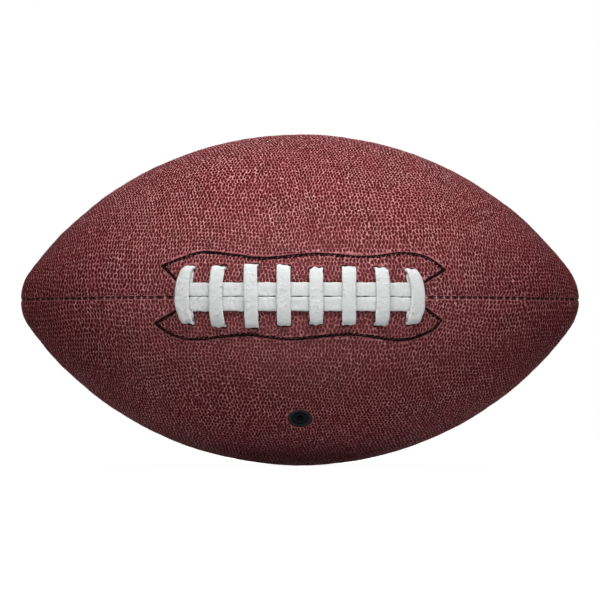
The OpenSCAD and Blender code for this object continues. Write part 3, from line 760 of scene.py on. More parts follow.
    def inner_face(self, rim_uv, rim):
        """Coarse triangles that close the panel behind its walls, and the points added for them."""
        reach = INNER_STEP * round(self.u_end / INNER_STEP)
        half = INNER_STEP * round(BALL_R * QUARTER / INNER_STEP)
        u, v = np.meshgrid(np.arange(-reach, reach + 1, INNER_STEP), np.arange(-half, half + 1, INNER_STEP))
        grid = np.stack([u.ravel(), v.ravel()], -1)
        good = np.abs(grid[:, 0]) < self.u_end
        grid = grid[good & (self.seam_distance(*grid.T) > INNER_EDGE)]
        for hole in self.holes:
            grid = grid[np.linalg.norm(grid - hole.mean(0), axis=1) > INNER_CLEAR]
        points = np.concatenate([rim_uv, grid])
        tris = triangulate(points, rim.tolist())
        centre = points[tris].mean(1)
        good = np.ones(len(tris), bool)
        for hole in self.holes:
            good &= ~inside(centre, hole)
        turn = self.turn_mid + grid[:, 1] / meridian(grid[:, 0])[1]
        return tris[good][:, ::-1], cover_point(grid[:, 0], turn, np.full(len(grid), -INNER_T))

    def close(self, uv, pit, sheen_and_shade, faces):
        """Solid piece from the pebbled sheet, its walls and its inner face."""
        u, v = uv.T
        turn = self.turn_mid + v / np.maximum(meridian(u)[1], TINY)
        rim = self.rim_of(faces, len(uv))
        ids = np.unique(rim)
        place = np.full(len(uv), -1)
        place[ids] = np.arange(len(ids))
        rings, inner_v = self.walls(u[ids], v[ids])
        parts = [cover_point(u, turn, self.relief(u, v, pit))] + rings
        starts = np.cumsum([0] + [len(p) for p in parts])
        tris = [faces]
        upper = rim
        for start in starts[1:-1]:
            lower = place[rim] + start
            tris.append(np.stack([upper[:, 1], upper[:, 0], lower[:, 0]], -1))
            tris.append(np.stack([upper[:, 1], lower[:, 0], lower[:, 1]], -1))
            upper = lower
        inner, grid = self.inner_face(np.stack([u[ids], inner_v], -1), place[rim])
        tris.append(inner + starts[-2])
        obj = make_mesh(self.name + "_cover", np.concatenate(parts + [grid]), np.concatenate(tris))
        rest = starts[-1] + len(grid) - len(uv)
        # Looks of the cover: pits, painted sheen and shade of the ridges, flat grain, and painted shade at
        # its edges, full behind
        looks = (
            ("pit", pit, 0),
            ("sheen_and_shade", self.ridge_sheen_and_shade(uv, sheen_and_shade), 0),
            ("flat", self.flatness(u, v), 0),
            ("edge", self.edge_shade(uv), 1),
        )
        for name, values, behind in looks:
            float_attribute(obj, name, np.concatenate([values, np.full(rest, behind)]))
        return obj

    def ridge_sheen_and_shade(self, uv, sheen_and_shade):
        """Painted sheen of the ridges, fullest on a seam's bridges, with painted shade near the seams, holes
        and stitches and towards the tips.
        """
        u, v = uv.T
        d = self.seam_distance(u, v)
        bridge = (1 - seam_open(u)) * (1 - smooth(d, *BRIDGE_SHEEN_AT))
        sheen_and_shade = np.maximum(sheen_and_shade * smooth(d, *SEAM_SHADE_AT), bridge)
        sheen_and_shade *= 1 - TIP_SHADE * smooth(np.abs(u), *TIP_SHADE_AT)
        for t in self.to_holes(uv):
            sheen_and_shade *= 1 - HOLE_RIDGE_SHADE * bell(t, RIDGE_SHADE_W)
        if self.line is not None:
            sheen_and_shade *= 1 - LINE_RIDGE_SHADE * bell(self.to_line(uv), RIDGE_SHADE_W)
        return sheen_and_shade

    def flatness(self, u, v):
        """How flat the grain is round the lace."""
        low = v + meridian(u)[1] * self.turn_mid + FLAT_LOW
        return FLAT * bell(u, FLAT_REACH[0]) * bell(low, FLAT_REACH[1])

    def edge_shade(self, uv):
        """Painted shade on the cover where it lies in an open seam, under the stitches or at a hole's edge.
        """
        dark = seam_open(uv[:, 0]) * (1 - smooth(self.seam_distance(*uv.T), *SEAM_GAP_SHADE_AT))
        if self.line is not None:
            dark = np.maximum(dark, LINE_EDGE_SHADE[0] * bell(self.to_line(uv), LINE_EDGE_SHADE[1]))
        for t in self.to_holes(uv):
            dark = np.maximum(dark, HOLE_EDGE_SHADE[0] * bell(t, HOLE_EDGE_SHADE[1]))
        return dark


def split_cells(base, pit, tris, rng):
    """Splits triangles at their edges' middles and centres, which become the ridges between the pits.

    Gives the points, how deep each one lies in a pit, the painted sheen of each, less between pits in the
    steep direction, and the faces."""
    n = len(base)
    pairs = np.sort(np.concatenate([tris[:, [0, 1]], tris[:, [1, 2]], tris[:, [2, 0]]]), 1)
    keys, index = np.unique(pairs[:, 0] * n + pairs[:, 1], return_inverse=True)
    ends = np.stack([keys // n, keys % n], -1)
    both = (pit[ends] > 0).all(1)
    opened = both & (pit[ends] == OPEN_PIT).any(1)
    step = np.abs(base[ends[:, 1]] - base[ends[:, 0]])
    steep = both & (step[:, 1] > JOIN_STEEP * step[:, 0])
    joined = steep & (rng.random(len(ends)) < PIT_JOIN_SHARE)
    mid_pit = np.where(opened, OPEN_PIT, np.where(joined, rng.uniform(*JOIN_DEPTH, len(ends)), 0))
    m1, m2, m3 = index.reshape(3, -1) + n
    c = np.arange(len(tris)) + n + len(ends)
    a, b, d = tris.T
    faces = np.concatenate([np.stack(t, -1) for t in (
        (a, m1, c), (m1, b, c), (b, m2, c), (m2, d, c), (d, m3, c), (m3, a, c))])
    points = np.concatenate([base, base[ends].mean(1), base[tris].mean(1)])
    depth = np.concatenate([pit * rng.uniform(*PIT_DEPTH, n), mid_pit, np.zeros(len(tris))])
    # Painted sheen and glints of the ridges, random from point to point
    sheen_and_shade = np.clip(rng.normal(*RIDGE_SHEEN_RANDOM, len(points)), 0, 1)
    # Painted shade on the ridges between pits in the steep direction
    sheen_and_shade[n:n + len(ends)] *= np.where(steep, JOIN_SHADE, 1)
    return points, depth, sheen_and_shade, faces


# Lace


def bar_place(i, s, upper, lower):
    """Middle and width of a bar, seen from outside, at a place s between its holes."""
    share = (upper - s) / (upper + lower)
    side = math.copysign(1, hole_x(i))
    if is_end(i):
        at, outer_edge, inner_edge = zip(*MOON)
        outer, inner = np.interp(share, at, outer_edge), np.interp(share, at, inner_edge)
        return side * (outer + inner) / 2, outer - inner
    from_hole = min(upper - s, s + lower)
    width = LACE_HOLE_W + (LACE_W - LACE_HOLE_W) * float(smooth(from_hole, *BAR_EASE))
    bow = BAR_BOWS.get(i, 0) * (1 - (2 * share - 1) ** 2)
    return hole_x(i) + bow + BAR_LEANS.get(i, 0) * (2 * share - 1), width


def bar(i, upper, lower):
    """Stations over the outside, from an upper hole to a lower one: x, s, h, angle of the width, width."""
    high = END_RISE if is_end(i) else BAR_RISE
    places = [upper - d for d in RISE_AT] + [0.0] + [d - lower for d in RISE_AT[::-1]]
    out = []
    for s in places:
        x, width = bar_place(i, s, upper, lower)
        out.append((x, s, float(np.interp(min(upper - s, s + lower), RISE_AT, high)), 0, width))
    return out


def through_hole(x, s, side, in_side, floor, width):
    """Stations down a hole above (1) or below (-1) the seam, to an inner run on its in_side."""
    inner = side * INNER_ROW
    return [
        (x, s + side * HOLE_TOP[0], HOLE_TOP[1], 0, width),
        (x, (s + inner) / 2, HOLE_MIDDLE_H, 0, width),
        (x, inner + in_side * HOLE_TURN[0], floor + HOLE_TURN[1], 0, width),
        (x, inner + in_side * HOLE_OUT, floor, 0, width),
    ]


def inner_run(x0, x1, s0, s1, floor, width):
    """Stations on the inside, between the ends of two holes' inner runs."""
    return [(x0 + (x1 - x0) * share, s0 + (s1 - s0) * share, floor, 0, width) for share in RUN_SHARES]


def root(side, half, row, strand):
    """Stations from an end hole, flat round a corner under its bar, to the strand above (1) or below (-1)."""
    sense = -side * half
    growth, until = ROOT_GROWTH
    out = [(side * ROOT_X, half * (row - d), h, 0, ROOT_W + growth * min(d, until)) for d, h in ROOT_RISE]
    high = ROOT_RISE[-1][1]
    for share in np.linspace(0, 1, CORNER_POINTS):
        a = share * math.pi / 2
        r = float(np.interp(share, *zip(*CORNER_R)))
        x = CORNER_X + r * math.cos(a)
        s = strand + CORNER_R[-1][1] - r * math.sin(a)
        out.append((side * x, half * s, high, sense * math.degrees(a), 2 * (r - CORNER_IN)))
    return out


def turned(stations, by):
    return [(x, s, h, angle + by, width) for x, s, h, angle, width in stations]


def bar_x(i):
    """Place along the ball where a bar goes through its holes."""
    return math.copysign(BAR_END_X, hole_x(i)) if is_end(i) else hole_x(i)


def bars_route(deep, low):
    """Stations of all bars and the inner runs between them, from the tucked end to the last lower hole."""
    last = LACE_PAIRS - 1
    tuck = INNER_ROW - TUCK
    route = [(bar_x(0), INNER_ROW + TAIL_L / part, deep, 0, TAIL_W) for part in (1, 2)]
    for i in range(LACE_PAIRS):
        apart = END_APART if is_end(i) else 0
        upper, lower = UPPER_ROW[i] + apart, LOWER_ROW[i] + apart
        width = LACE_END_W if is_end(i) else LACE_HOLE_W
        floor_in = deep if i not in (1, last) else low
        floor_out = low if i in (0, last - 1) else deep
        route += through_hole(bar_x(i), upper, 1, 1 if i == 0 else -1, floor_in, width)[::-1]
        route += bar(i, upper, lower)
        route += through_hole(bar_x(i), -lower, -1, 1, floor_out, width)
        if i < last:
            route += inner_run(bar_x(i), bar_x(i + 1), -tuck, tuck, floor_out, LACE_RUN_W)
    return route + inner_run(bar_x(last), ROOT_X, -tuck, tuck, deep, ROOT_W)


def strand_end(side, half, strand, deep):
    """Stations from inside an end hole, out of it and round to the strand above (1) or below (-1)."""
    row = (UPPER_ROW if half > 0 else LOWER_ROW)[0 if side < 0 else -1] - END_APART
    hole = through_hole(side * ROOT_X, half * row, half, -half, deep, ROOT_W)
    return hole[::-1] + root(side, half, row, strand)


def lace_route():
    """Stations of the lace from one tucked end to the other."""
    on = LACE_FLOAT + LACE_T / 2
    deep = -(FACING_LOW + LACE_FLOAT + LACE_T / 2)
    strand = (LACE_W + STRAND_GAP) / 2
    tuck = INNER_ROW - TUCK
    run = np.linspace(CORNER_X - STRAND_END, STRAND_END - CORNER_X, STRAND_POINTS)
    route = bars_route(deep, deep - LACE_T - LACE_GAP)
    route += strand_end(1, 1, strand, deep)
    route += [(x, strand, on, -90, LACE_W) for x in run]
    route += turned(strand_end(-1, 1, strand, deep)[::-1], -180)
    route += turned(inner_run(-ROOT_X, -ROOT_X, tuck, -tuck, deep, ROOT_W), -180)
    route += turned(strand_end(-1, -1, strand, deep), -180)
    route += [(x, -strand, on, -270, LACE_W) for x in run[::-1]]
    route += turned(strand_end(1, -1, strand, deep)[::-1], -360)
    for part, width in ((2, LAST_TAIL_W), (1, TAIL_W)):
        route.append((ROOT_X, -INNER_ROW - TAIL_L / part, deep, -360, width))
    return np.array(route, float)


def lace_section():
    """Flat cross-section of the lace with rounded edges, as shares of its half width and half thickness."""
    top = []
    for t in np.linspace(-1, 1, SECTION_POINTS):
        x = FACE_SHARE * math.copysign(abs(t) ** FACE_POWER, t)
        top.append((x, 1.0 - CROWN_SHARE * abs(t) ** CROWN_POWER))
    half = top + [(1.0, SIDE_SHARE), (1.0, -SIDE_SHARE)]
    return np.array(half + [(-x, -y) for x, y in half])


def lace_frame(route):
    """Points along the lace, its directions across and through, the way round the ball, and its steepness."""
    u = u_at(route[:, 0])
    turn = route[:, 1] / meridian(u)[1]
    centre = cover_point(u, turn, route[:, 2])
    along, around, out = cover_axes(u, turn)
    tangent = np.gradient(centre, axis=0)
    tangent /= np.linalg.norm(tangent, axis=1)[:, None]
    angle = np.radians(route[:, 3])[:, None]
    flat = np.cos(angle) * along + np.sin(angle) * around
    flat -= (flat * tangent).sum(1)[:, None] * tangent
    flat /= np.linalg.norm(flat, axis=1)[:, None]
    steep = smooth(np.abs((tangent * out).sum(1)), *STEEP_AT) * smooth(route[:, 2], *STEEP_H)
    return centre, flat, np.cross(tangent, flat), around, steep


def uneven(p, rng, height, count, size):
    """Waves of a height over points."""
    return height * waves(p, rng, count, size)


def build_lace():
    rng = np.random.default_rng(LACE_SEED)
    route = spline(lace_route(), ROUTE_STEPS)
    far = distances_along(lace_frame(route)[0])
    at = np.linspace(0, far[-1], round(far[-1] / LACE_STEP))
    route = np.stack([np.interp(at, far, c) for c in route.T], -1)
    centre, flat, through, around, steep = lace_frame(route)
    ring = lace_section()
    n = len(ring)
    steps = np.repeat(at[:, None], n, 1)
    line = np.stack([at, 0 * at], -1)
    across = ring[None, :, 0] * route[:, 4][:, None] / 2
    p = np.stack([steps.ravel(), BUMP_STRETCH * across.ravel()], -1)
    bumps = (uneven(p, rng, *LACE_BUMPS) + uneven(p, rng, *LACE_LUMPS)).reshape(across.shape)
    thick = ring[None, :, 1] * LACE_T / 2 + bumps * np.sign(ring[None, :, 1])
    across = across * (1 + uneven(line, rng, *LACE_PINCH)[:, None])
    across = across + uneven(line, rng, *LACE_DRIFT)[:, None]
    verts = centre[:, None] + across[..., None] * flat[:, None] + thick[..., None] * through[:, None]
    p = np.stack([steps.ravel() / RAG_LENGTH, across.ravel()], -1)
    ragged = uneven(p, rng, *LACE_RAGS).reshape(across.shape)
    slant = uneven(line, rng, *LACE_SLANT)[:, None] * across
    verts += (steep[:, None] * (ragged + slant))[..., None] * around[:, None]
    i, k = np.meshgrid(np.arange(len(at) - 1), np.arange(n), indexing="ij")
    a, b = (i * n + k).ravel(), (i * n + (k + 1) % n).ravel()
    faces = np.stack([a, b, b + n, a + n], -1).tolist()
    faces += [list(range(n))[::-1], [(len(at) - 1) * n + q for q in range(n)]]
    obj = make_mesh("lace_band", verts.reshape(-1, 3), faces)
    float_attribute(obj, "lace_along", steps.ravel())
    float_attribute(obj, "lace_across", across.ravel())
    return obj


# Threads


def tube(points, radius, sides=8):
    """Vertices and faces of a closed round tube along points, with a radius at each."""
    points = np.asarray(points, float)
    radius = np.broadcast_to(radius, len(points))
    tangent = np.gradient(points, axis=0)
    tangent /= np.linalg.norm(tangent, axis=1)[:, None]
    across = np.cross(tangent, points * (0, 1, 1))
    across /= np.linalg.norm(across, axis=1)[:, None]
    up = np.cross(across, tangent)
    turn = np.linspace(0, 2 * math.pi, sides, endpoint=False)
    ring = across[:, None] * np.cos(turn)[None, :, None] + up[:, None] * np.sin(turn)[None, :, None]
    verts = (points[:, None] + radius[:, None, None] * ring).reshape(-1, 3)
    faces = []
    for i in range(len(points) - 1):
        for k in range(sides):
            a, b = i * sides + k, i * sides + (k + 1) % sides
            faces.append([a, a + sides, b + sides, b])
    last = (len(points) - 1) * sides
    return verts, faces + [list(range(sides)), [last + k for k in reversed(range(sides))]]


def second_rows(line):
    """Rows beside the back and the tip of an outline at each of its ends, where it is sewn twice."""
    middle = line.mean(0)
    for part in (line, line[::-1]):
        row = part[:int(np.argmax(np.abs(part[:, 0]))) + SECOND_OVER]
        across = normals_of(row)
        inward = np.sign(((middle - row) * across).sum(1).mean())
        order = np.arange(len(row))
        ease = np.minimum(1, np.minimum(order, order[::-1]) / SECOND_EASE)
        yield row + FACING_SECOND * inward * ease[:, None] * across


def stitch(line, far, start, end, rng):
    """One stitch on the cover, which dips into it at both ends and lies a little askew."""
    share = np.linspace(0, 1, STITCH_POINTS)
    at = start + share * (end - start)
    p = np.stack([np.interp(at, far, c) for c in line.T], -1)
    d = p[-1] - p[0]
    d /= max(np.linalg.norm(d), TINY)
    mean, spread, shift = STITCH_ASKEW
    askew = rng.normal(mean, spread) * (2 * share - 1) + rng.normal(0, shift)
    p += askew[:, None] * (-d[1], d[0])
    lift = np.sin(math.pi * share)
    base, crown, dip, power, spread = STITCH_H
    h = base + crown * lift - dip * np.abs(2 * share - 1) ** power + rng.normal(0, spread)
    least, gain, spread = STITCH_R
    radius = FACING_THREAD_D / 2 * (least + gain * lift + rng.normal(0, spread, len(share)))
    radius *= rng.uniform(*STITCH_FAT)
    return tube(cover_point(p[:, 0], p[:, 1] / meridian(p[:, 0])[1], h), radius)


def build_facing_thread(name, side):
    """All stitches along an outline, and the run behind the facing."""
    rng = np.random.default_rng(STITCH_SEED + side)
    outline = outline_on_cover(side)
    tubes = []
    for line in [outline] + list(second_rows(outline)):
        far = distances_along(line)
        count = round(far[-1] / FACING_STITCH)
        cuts = np.linspace(0, far[-1], count + 1) + rng.normal(0, CUT_SPREAD, count + 1)
        tubes += [stitch(line, far, start, end, rng) for start, end in zip(cuts, cuts[1:])]
    u, s = resample(outline, FACING_STITCH).T
    tubes.append(tube(cover_point(u, s / meridian(u)[1], -(FACING_LOW + BACK_RUN_LOW)), FACING_THREAD_D / 2))
    verts, faces, total = [], [], 0
    for v, f in tubes:
        verts.append(v)
        faces += [[q + total for q in face] for face in f]
        total += len(v)
    return make_mesh(name, np.concatenate(verts), faces)


# Materials. Noise is given as scale, detail and roughness, a span as from, to and any results

CLOUD = (60.0, 4.0, 0.55)
CLOUD_SPAN = (0.3, 0.7)
PIT_SPAN = (0.03, 0.4)
# Painted shade at open seams, stitches, hole edges and the hidden walls: span and strength
EDGE_SHADE_SPAN = (0.1, 0.85)
EDGE_SHADE_SHARE = 0.9
# Painted glints on the ridges: fine noise and its span
GLINT_SPECK = (1100.0, 2.0, 0.6)
GLINT_SPECK_SPAN = (0.25, 0.6, 0.6, 1.15)
FINE = (1500.0, 3.0, 0.6)
FINE_SHARE = 0.2
# Ridges from dull red to a pale pink that is painted sheen, and their darker cloudy patches
RIDGE_DULL = (0.2, 0.038, 0.042)
PALE_SHEEN = (0.82, 0.36, 0.365)
RIDGE_CLOUD = (0.3, 0.065, 0.07)
RIDGE_CLOUD_SPAN = (0.35, 0.65, 0.0, 0.25)
# Pits: dark red, partly painted shade in the hollows
HOLLOW_DARK = (0.055, 0.004, 0.007)
HOLLOW_PALE = (0.088, 0.007, 0.011)
# Colour of the flatter grain round the lace
FLAT_COLOUR = (0.26, 0.085, 0.09)
# Colour of the painted shade at open seams, stitches, hole edges and hidden walls
EDGE_SHADE_COLOUR = (0.012, 0.003, 0.004)
COVER_ROUGH = (0.6, 0.7)
COVER_SPECULAR = 0.02
# Depth of the grain's fine bump in metres
COVER_BUMP = 0.00022

LACE_SHADE = (0.64, 0.66, 0.655)
LACE_WHITE = (0.7, 0.715, 0.71)
# Colour of the painted shade in the creases
LACE_CREASE_SHADE = (0.5, 0.52, 0.53)
LACE_CLOUD = (170.0, 4.0, 0.6)
LACE_WANDER = (260.0, 2.0, 0.5)
WANDER_TURNS = 14.0
# Waves of the weave along and across the lace, and of the creases along it
WEAVE_TURNS = (6.0, 2.6)
CREASE_TURNS = 2.3
CREASE_SPAN = (0.2, 1.0)
CREASE_CLOUD_SPAN = (0.42, 0.62)
# Strength of the painted shade in the creases
CREASE_SHADE_SHARE = 0.4
# Heights of the weave, the cloud and the creases
LACE_HEIGHTS = (0.4, 1.8, 2.2)
LACE_ROUGH = 0.65
LACE_SPECULAR = 0.15
# Strength and depth in metres
LACE_BUMP = (0.45, 0.00012)

# Plain materials' noises: detail and roughness, and for the fine one how many times finer it is before them
PLAIN_DETAIL = (4.0, 0.6)
PLAIN_ROUGH_SPAN = (0.2, 0.8)
ROUGH_SPREAD = 0.06
PLAIN_FINE = (12, 2.0, 0.6)
PLAIN_BUMP = 0.4

# Plain materials: dark and light colour, scale of the noise, roughness, bump and specular level; before
# them, for the frame's own nodes, the start of their names and the material's name
THREAD_BLACK = ((0.004, 0.002, 0.002), (0.016, 0.008, 0.008), 900, 0.8, 0.00005, 0.03)
PLAIN_NODES = (
    ("seam_thread", "thread_seam", (0.03, 0.008, 0.01), (0.06, 0.015, 0.018), 900, 0.75, 0.00005, 0.3),
    ("bladder", "bladder_rubber", (0.02, 0.02, 0.021), (0.035, 0.035, 0.037), 40, 0.6, 0.0001, 0.3),
    ("valve_boot", "boot_rubber", (0.003, 0.005, 0.006), (0.008, 0.011, 0.012), 300, 0.6, 0.00004, 0.12),
    ("valve_plug", "plug_rubber", (0.001, 0.002, 0.003), (0.004, 0.007, 0.008), 300, 0.6, 0.00004, 0.05),
)
# Cloths: starts of the nodes' names, own name, dark and light colour and the pitch of the threads
WEBBING = ("facing_upper", "facing_lower", "valve_patch")
CLOTHS = (
    (WEBBING, "webbing", (0.45, 0.39, 0.26), (0.6, 0.53, 0.38), 1.6),
    (("lining",), "lining_cloth", (0.55, 0.48, 0.36), (0.7, 0.62, 0.48), 1.1),
    (("lace_tongue",), "tongue_cloth", (0.02, 0.02, 0.02), (0.045, 0.045, 0.046), 1.3),
)
CLOTH_CLOUD = (90.0, 3.0, 0.5)
CLOTH_CLOUD_SHARES = (0.0, 0.3)
CLOTH_SPAN = (-0.6, 0.6)
CLOTH_ROUGH = 0.9
CLOTH_SPECULAR = 0.5
CLOTH_BUMP = (0.6, 0.0002)


class Tree:
    """The nodes of a material or a world, which start with its output alone."""

    def __init__(self, owner, output):
        owner.use_nodes = True
        self.nodes = owner.node_tree.nodes
        self.link = owner.node_tree.links.new
        self.nodes.clear()
        self.out = self.nodes.new("ShaderNodeOutput" + output)

    def put(self, node, key, value):
        """Links a socket to an input, or sets it to a number or a colour."""
        if isinstance(value, bpy.types.NodeSocket):
            self.link(value, node.inputs[key])
        else:
            node.inputs[key].default_value = (*value, 1.0) if isinstance(value, tuple) else value

    def add(self, kind, inputs, **settings):
        """Outputs of a new node with its settings and inputs."""
        node = self.nodes.new("ShaderNode" + kind)
        for key, value in settings.items():
            setattr(node, key, value)
        for key, value in inputs.items():
            self.put(node, key, value)
        return node.outputs

    def attribute(self, name):
        return self.add("Attribute", {}, attribute_name=name)["Fac"]

    def place(self):
        return self.add("TexCoord", {})["Object"]

    def math(self, kind, a, b=0.0):
        return self.add("Math", {0: a, 1: b}, operation=kind)[0]

    def times(self, a, b):
        return self.math("MULTIPLY", a, b)

    def noise(self, vector, scale, detail, rough):
        inputs = {"Vector": vector, "Scale": scale, "Detail": detail, "Roughness": rough}
        return self.add("TexNoise", inputs)["Fac"]

    def span(self, value, low, high, to_low=0.0, to_high=1.0):
        """Smooth step of a value from one result to another."""
        inputs = {"Value": value, "From Min": low, "From Max": high, "To Min": to_low, "To Max": to_high}
        return self.add("MapRange", inputs, interpolation_type="SMOOTHSTEP")[0]

    def mix(self, factor, a, b):
        return self.add("Mix", {0: factor, 6: a, 7: b}, data_type="RGBA")[2]

    def bump(self, height, strength, distance):
        return self.add("Bump", {"Height": height, "Strength": strength, "Distance": distance})["Normal"]

    def shade(self, colour, roughness, specular, normal):
        keys = ("Base Color", "Roughness", "Specular IOR Level", "Normal")
        shader = self.add("BsdfPrincipled", dict(zip(keys, (colour, roughness, specular, normal))))
        self.put(self.out, "Surface", shader["BSDF"])


def new_material(name):
    mat = bpy.data.materials.new(name)
    return mat, Tree(mat, "Material")


def cover_material():
    """Composite cover: burgundy, dark in its pits, partly as painted shade, with ridges from dull red to a
    pale pink that is painted sheen with painted glints, and painted shade at its seams, stitches, holes and
    tips.
    """
    mat, t = new_material("cover_grain")
    place = t.place()
    pit = t.span(t.attribute("pit"), *PIT_SPAN)
    cloud = t.noise(place, *CLOUD)
    # Painted sheen, glints and shade of the ridges
    sheen_and_shade = t.times(t.attribute("sheen_and_shade"), t.span(t.noise(place, *GLINT_SPECK), *GLINT_SPECK_SPAN))
    ridge = t.mix(t.span(sheen_and_shade, 0.0, 1.0), RIDGE_DULL, PALE_SHEEN)
    ridge = t.mix(t.span(cloud, *RIDGE_CLOUD_SPAN), ridge, RIDGE_CLOUD)
    hollow = t.mix(t.span(cloud, *CLOUD_SPAN), HOLLOW_DARK, HOLLOW_PALE)
    colour = t.mix(t.attribute("flat"), t.mix(pit, ridge, hollow), FLAT_COLOUR)
    # Painted shade at open seams, stitches, hole edges and hidden walls
    edge = t.times(t.span(t.attribute("edge"), *EDGE_SHADE_SPAN), EDGE_SHADE_SHARE)
    rough = t.span(cloud, *CLOUD_SPAN, *COVER_ROUGH)
    height = t.math("SUBTRACT", t.times(t.noise(place, *FINE), FINE_SHARE), pit)
    t.shade(t.mix(edge, colour, EDGE_SHADE_COLOUR), rough, COVER_SPECULAR, t.bump(height, 1.0, COVER_BUMP))
    return mat


def lace_material():
    """White coated lace with a fine weave across it and slanted creases, darker in the creases as painted
    shade.
    """
    mat, t = new_material("lace_weave")
    place = t.place()
    along = t.attribute("lace_along")
    across = t.math("ABSOLUTE", t.attribute("lace_across"))
    slants = [t.times(*pair) for pair in zip((along, across), WEAVE_TURNS)]
    weave = t.math("SINE", t.math("ADD", *slants))
    cloud = t.noise(place, *LACE_CLOUD)
    wander = t.times(t.noise(place, *LACE_WANDER), WANDER_TURNS)
    crease = t.math("SINE", t.math("ADD", t.times(along, CREASE_TURNS), wander))
    deep = t.times(t.span(crease, *CREASE_SPAN), t.span(cloud, *CREASE_CLOUD_SPAN))
    weave, swell, sink = (t.times(*pair) for pair in zip((weave, cloud, deep), LACE_HEIGHTS))
    height = t.math("SUBTRACT", t.math("ADD", weave, swell), sink)
    colour = t.mix(t.span(cloud, *CLOUD_SPAN), LACE_SHADE, LACE_WHITE)
    # Painted shade in the creases
    colour = t.mix(t.times(deep, CREASE_SHADE_SHARE), colour, LACE_CREASE_SHADE)
    t.shade(colour, LACE_ROUGH, LACE_SPECULAR, t.bump(height, *LACE_BUMP))
    return mat


def plain_material(name, low, high, scale, roughness, bump, specular):
    """Two close colours mixed by noise, with a fine bump."""
    mat, t = new_material(name)
    place = t.place()
    cloud = t.noise(place, scale, *PLAIN_DETAIL)
    colour = t.mix(t.span(cloud, *CLOUD_SPAN), low, high)
    rough = t.span(cloud, *PLAIN_ROUGH_SPAN, roughness - ROUGH_SPREAD, roughness + ROUGH_SPREAD)
    finer, *rest = PLAIN_FINE
    t.shade(colour, rough, specular, t.bump(t.noise(place, scale * finer, *rest), PLAIN_BUMP, bump))
    return mat


def weave_material(name, low, high, pitch):
    """Plain woven cloth: two crossed waves of threads."""
    mat, t = new_material(name)
    x, y, z = t.add("SeparateXYZ", {0: t.place()})
    k = 2 * math.pi / (pitch * MM)
    warp, weft = (t.math("SINE", t.times(far, k)) for far in (x, t.math("ADD", y, z)))
    height = t.times(warp, weft)
    cloud = t.noise(t.place(), *CLOTH_CLOUD)
    colour = t.mix(t.span(height, *CLOTH_SPAN), low, high)
    colour = t.mix(t.span(cloud, *CLOUD_SPAN, *CLOTH_CLOUD_SHARES), colour, low)
    t.shade(colour, CLOTH_ROUGH, CLOTH_SPECULAR, t.bump(height, *CLOTH_BUMP))
    return mat


def set_material(obj, mat):
    obj.data.materials.clear()
    obj.data.materials.append(mat)


# Camera, lights and floor


def build_camera():
    cam = bpy.data.cameras.new("camera")
    obj = bpy.data.objects.new("camera", cam)
    bpy.context.scene.collection.objects.link(obj)
    obj.location = (0, -CAMERA_FAR * math.cos(CAMERA_RISE), CAMERA_FAR * math.sin(CAMERA_RISE))
    obj.rotation_euler = (math.pi / 2 - CAMERA_RISE, 0, 0)
    cam.sensor_width = SENSOR_W
    cam.lens = SENSOR_W * CAMERA_FAR / (VIEW_W * MM)
    cam.clip_end = CAMERA_CLIP
    bpy.context.scene.camera = obj


def area_light(name, place, size, power, glossy):
    """Soft rectangular light that faces the middle of the ball."""
    light = bpy.data.lights.new(name, "AREA")
    light.shape = "RECTANGLE"
    light.size, light.size_y = size
    light.energy = power
    obj = bpy.data.objects.new(name, light)
    obj.location = place
    obj.rotation_euler = (-Vector(place)).to_track_quat("-Z", "Y").to_euler()
    obj.visible_glossy = glossy
    bpy.context.scene.collection.objects.link(obj)


def seen_rays(t):
    """1 for the rays that show a background: straight from the camera, mirrored or through glass."""
    path = t.add("LightPath", {})
    mirrored = t.math("MAXIMUM", path["Is Glossy Ray"], path["Is Transmission Ray"])
    return t.math("MAXIMUM", path["Is Camera Ray"], mirrored)


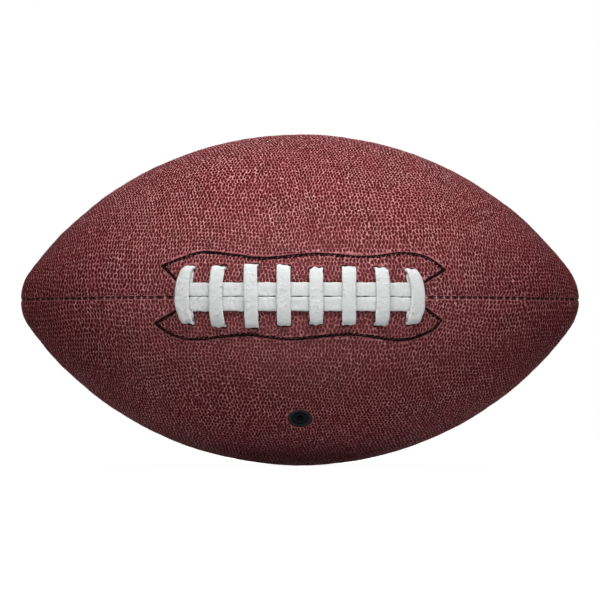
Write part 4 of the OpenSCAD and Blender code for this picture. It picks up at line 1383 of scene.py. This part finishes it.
def build_floor():
    """Pale floor under the ball: white wherever it is seen, but for the ball's own shadow."""
    low = CAD_BOX[0].z / MM
    half = FLOOR_HALF / MM
    corners = [(x * half, y * half, low) for x, y in ((-1, -1), (1, -1), (1, 1), (-1, 1))]
    floor = make_mesh("floor", corners, [(0, 1, 2, 3)])
    mat, t = new_material("floor_white")
    far = t.add("VectorMath", {0: t.place()}, operation="LENGTH")["Value"]
    glow = t.times(seen_rays(t), t.span(far, FLOOR_NEAR, FLOOR_FAR, FLOOR_GLOW, 1.0))
    diffuse = t.add("BsdfDiffuse", {0: (FLOOR_TONE,) * 3})[0]
    emit = t.add("Emission", {0: WHITE, 1: glow})[0]
    t.put(t.out, 0, t.add("AddShader", {0: diffuse, 1: emit})[0])
    set_material(floor, mat)


def build_world():
    """White surroundings where they are seen, and a dim even light on the ball."""
    world = bpy.data.worlds.new("world")
    bpy.context.scene.world = world
    t = Tree(world, "World")
    back = t.add("Background", {0: WHITE, 1: t.span(seen_rays(t), 0.0, 1.0, WORLD_LIGHT, 1.0)})
    t.put(t.out, 0, back[0])


def build_stage():
    build_camera()
    build_floor()
    build_world()
    for light in LIGHTS:
        area_light(*light)
    bpy.context.scene.view_settings.view_transform = "Standard"


# The ball


def replace_node(piece, node, mat):
    """Puts a visual piece in the place of a node of the frame."""
    set_material(piece, mat)
    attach(piece, "root")
    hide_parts(node)


def build_covers():
    cover = cover_material()
    # Name, turn of its middle in quarters of a half turn, side of the lace seam and seed
    places = (
        ("panel_upper_front", 1, -1, 101),
        ("panel_lower_front", -1, 1, 102),
        ("panel_upper_back", 3, 0, 103),
        ("panel_lower_back", -3, 0, 104),
    )
    for name, turns, lace_side, seed in places:
        replace_node(Panel(name, turns * QUARTER, lace_side, seed).build(), name, cover)


def build_threads():
    black = plain_material("thread_black", *THREAD_BLACK)
    for name, side in (("facing_thread_upper", 1), ("facing_thread_lower", -1)):
        replace_node(build_facing_thread(name + "_stitches", side), name, black)


def colour_nodes():
    """Materials of the frame's own nodes, by the start of their names."""
    looks = {}
    for starts, name, *look in CLOTHS:
        looks.update(dict.fromkeys(starts, weave_material(name, *look)))
    for start, name, *look in PLAIN_NODES:
        looks[start] = plain_material(name, *look)
    for name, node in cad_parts.items():
        for start, mat in looks.items():
            if name.startswith(start):
                set_material(node, mat)


build_stage()
build_covers()
replace_node(build_lace(), "lace", lace_material())
build_threads()
colour_nodes()
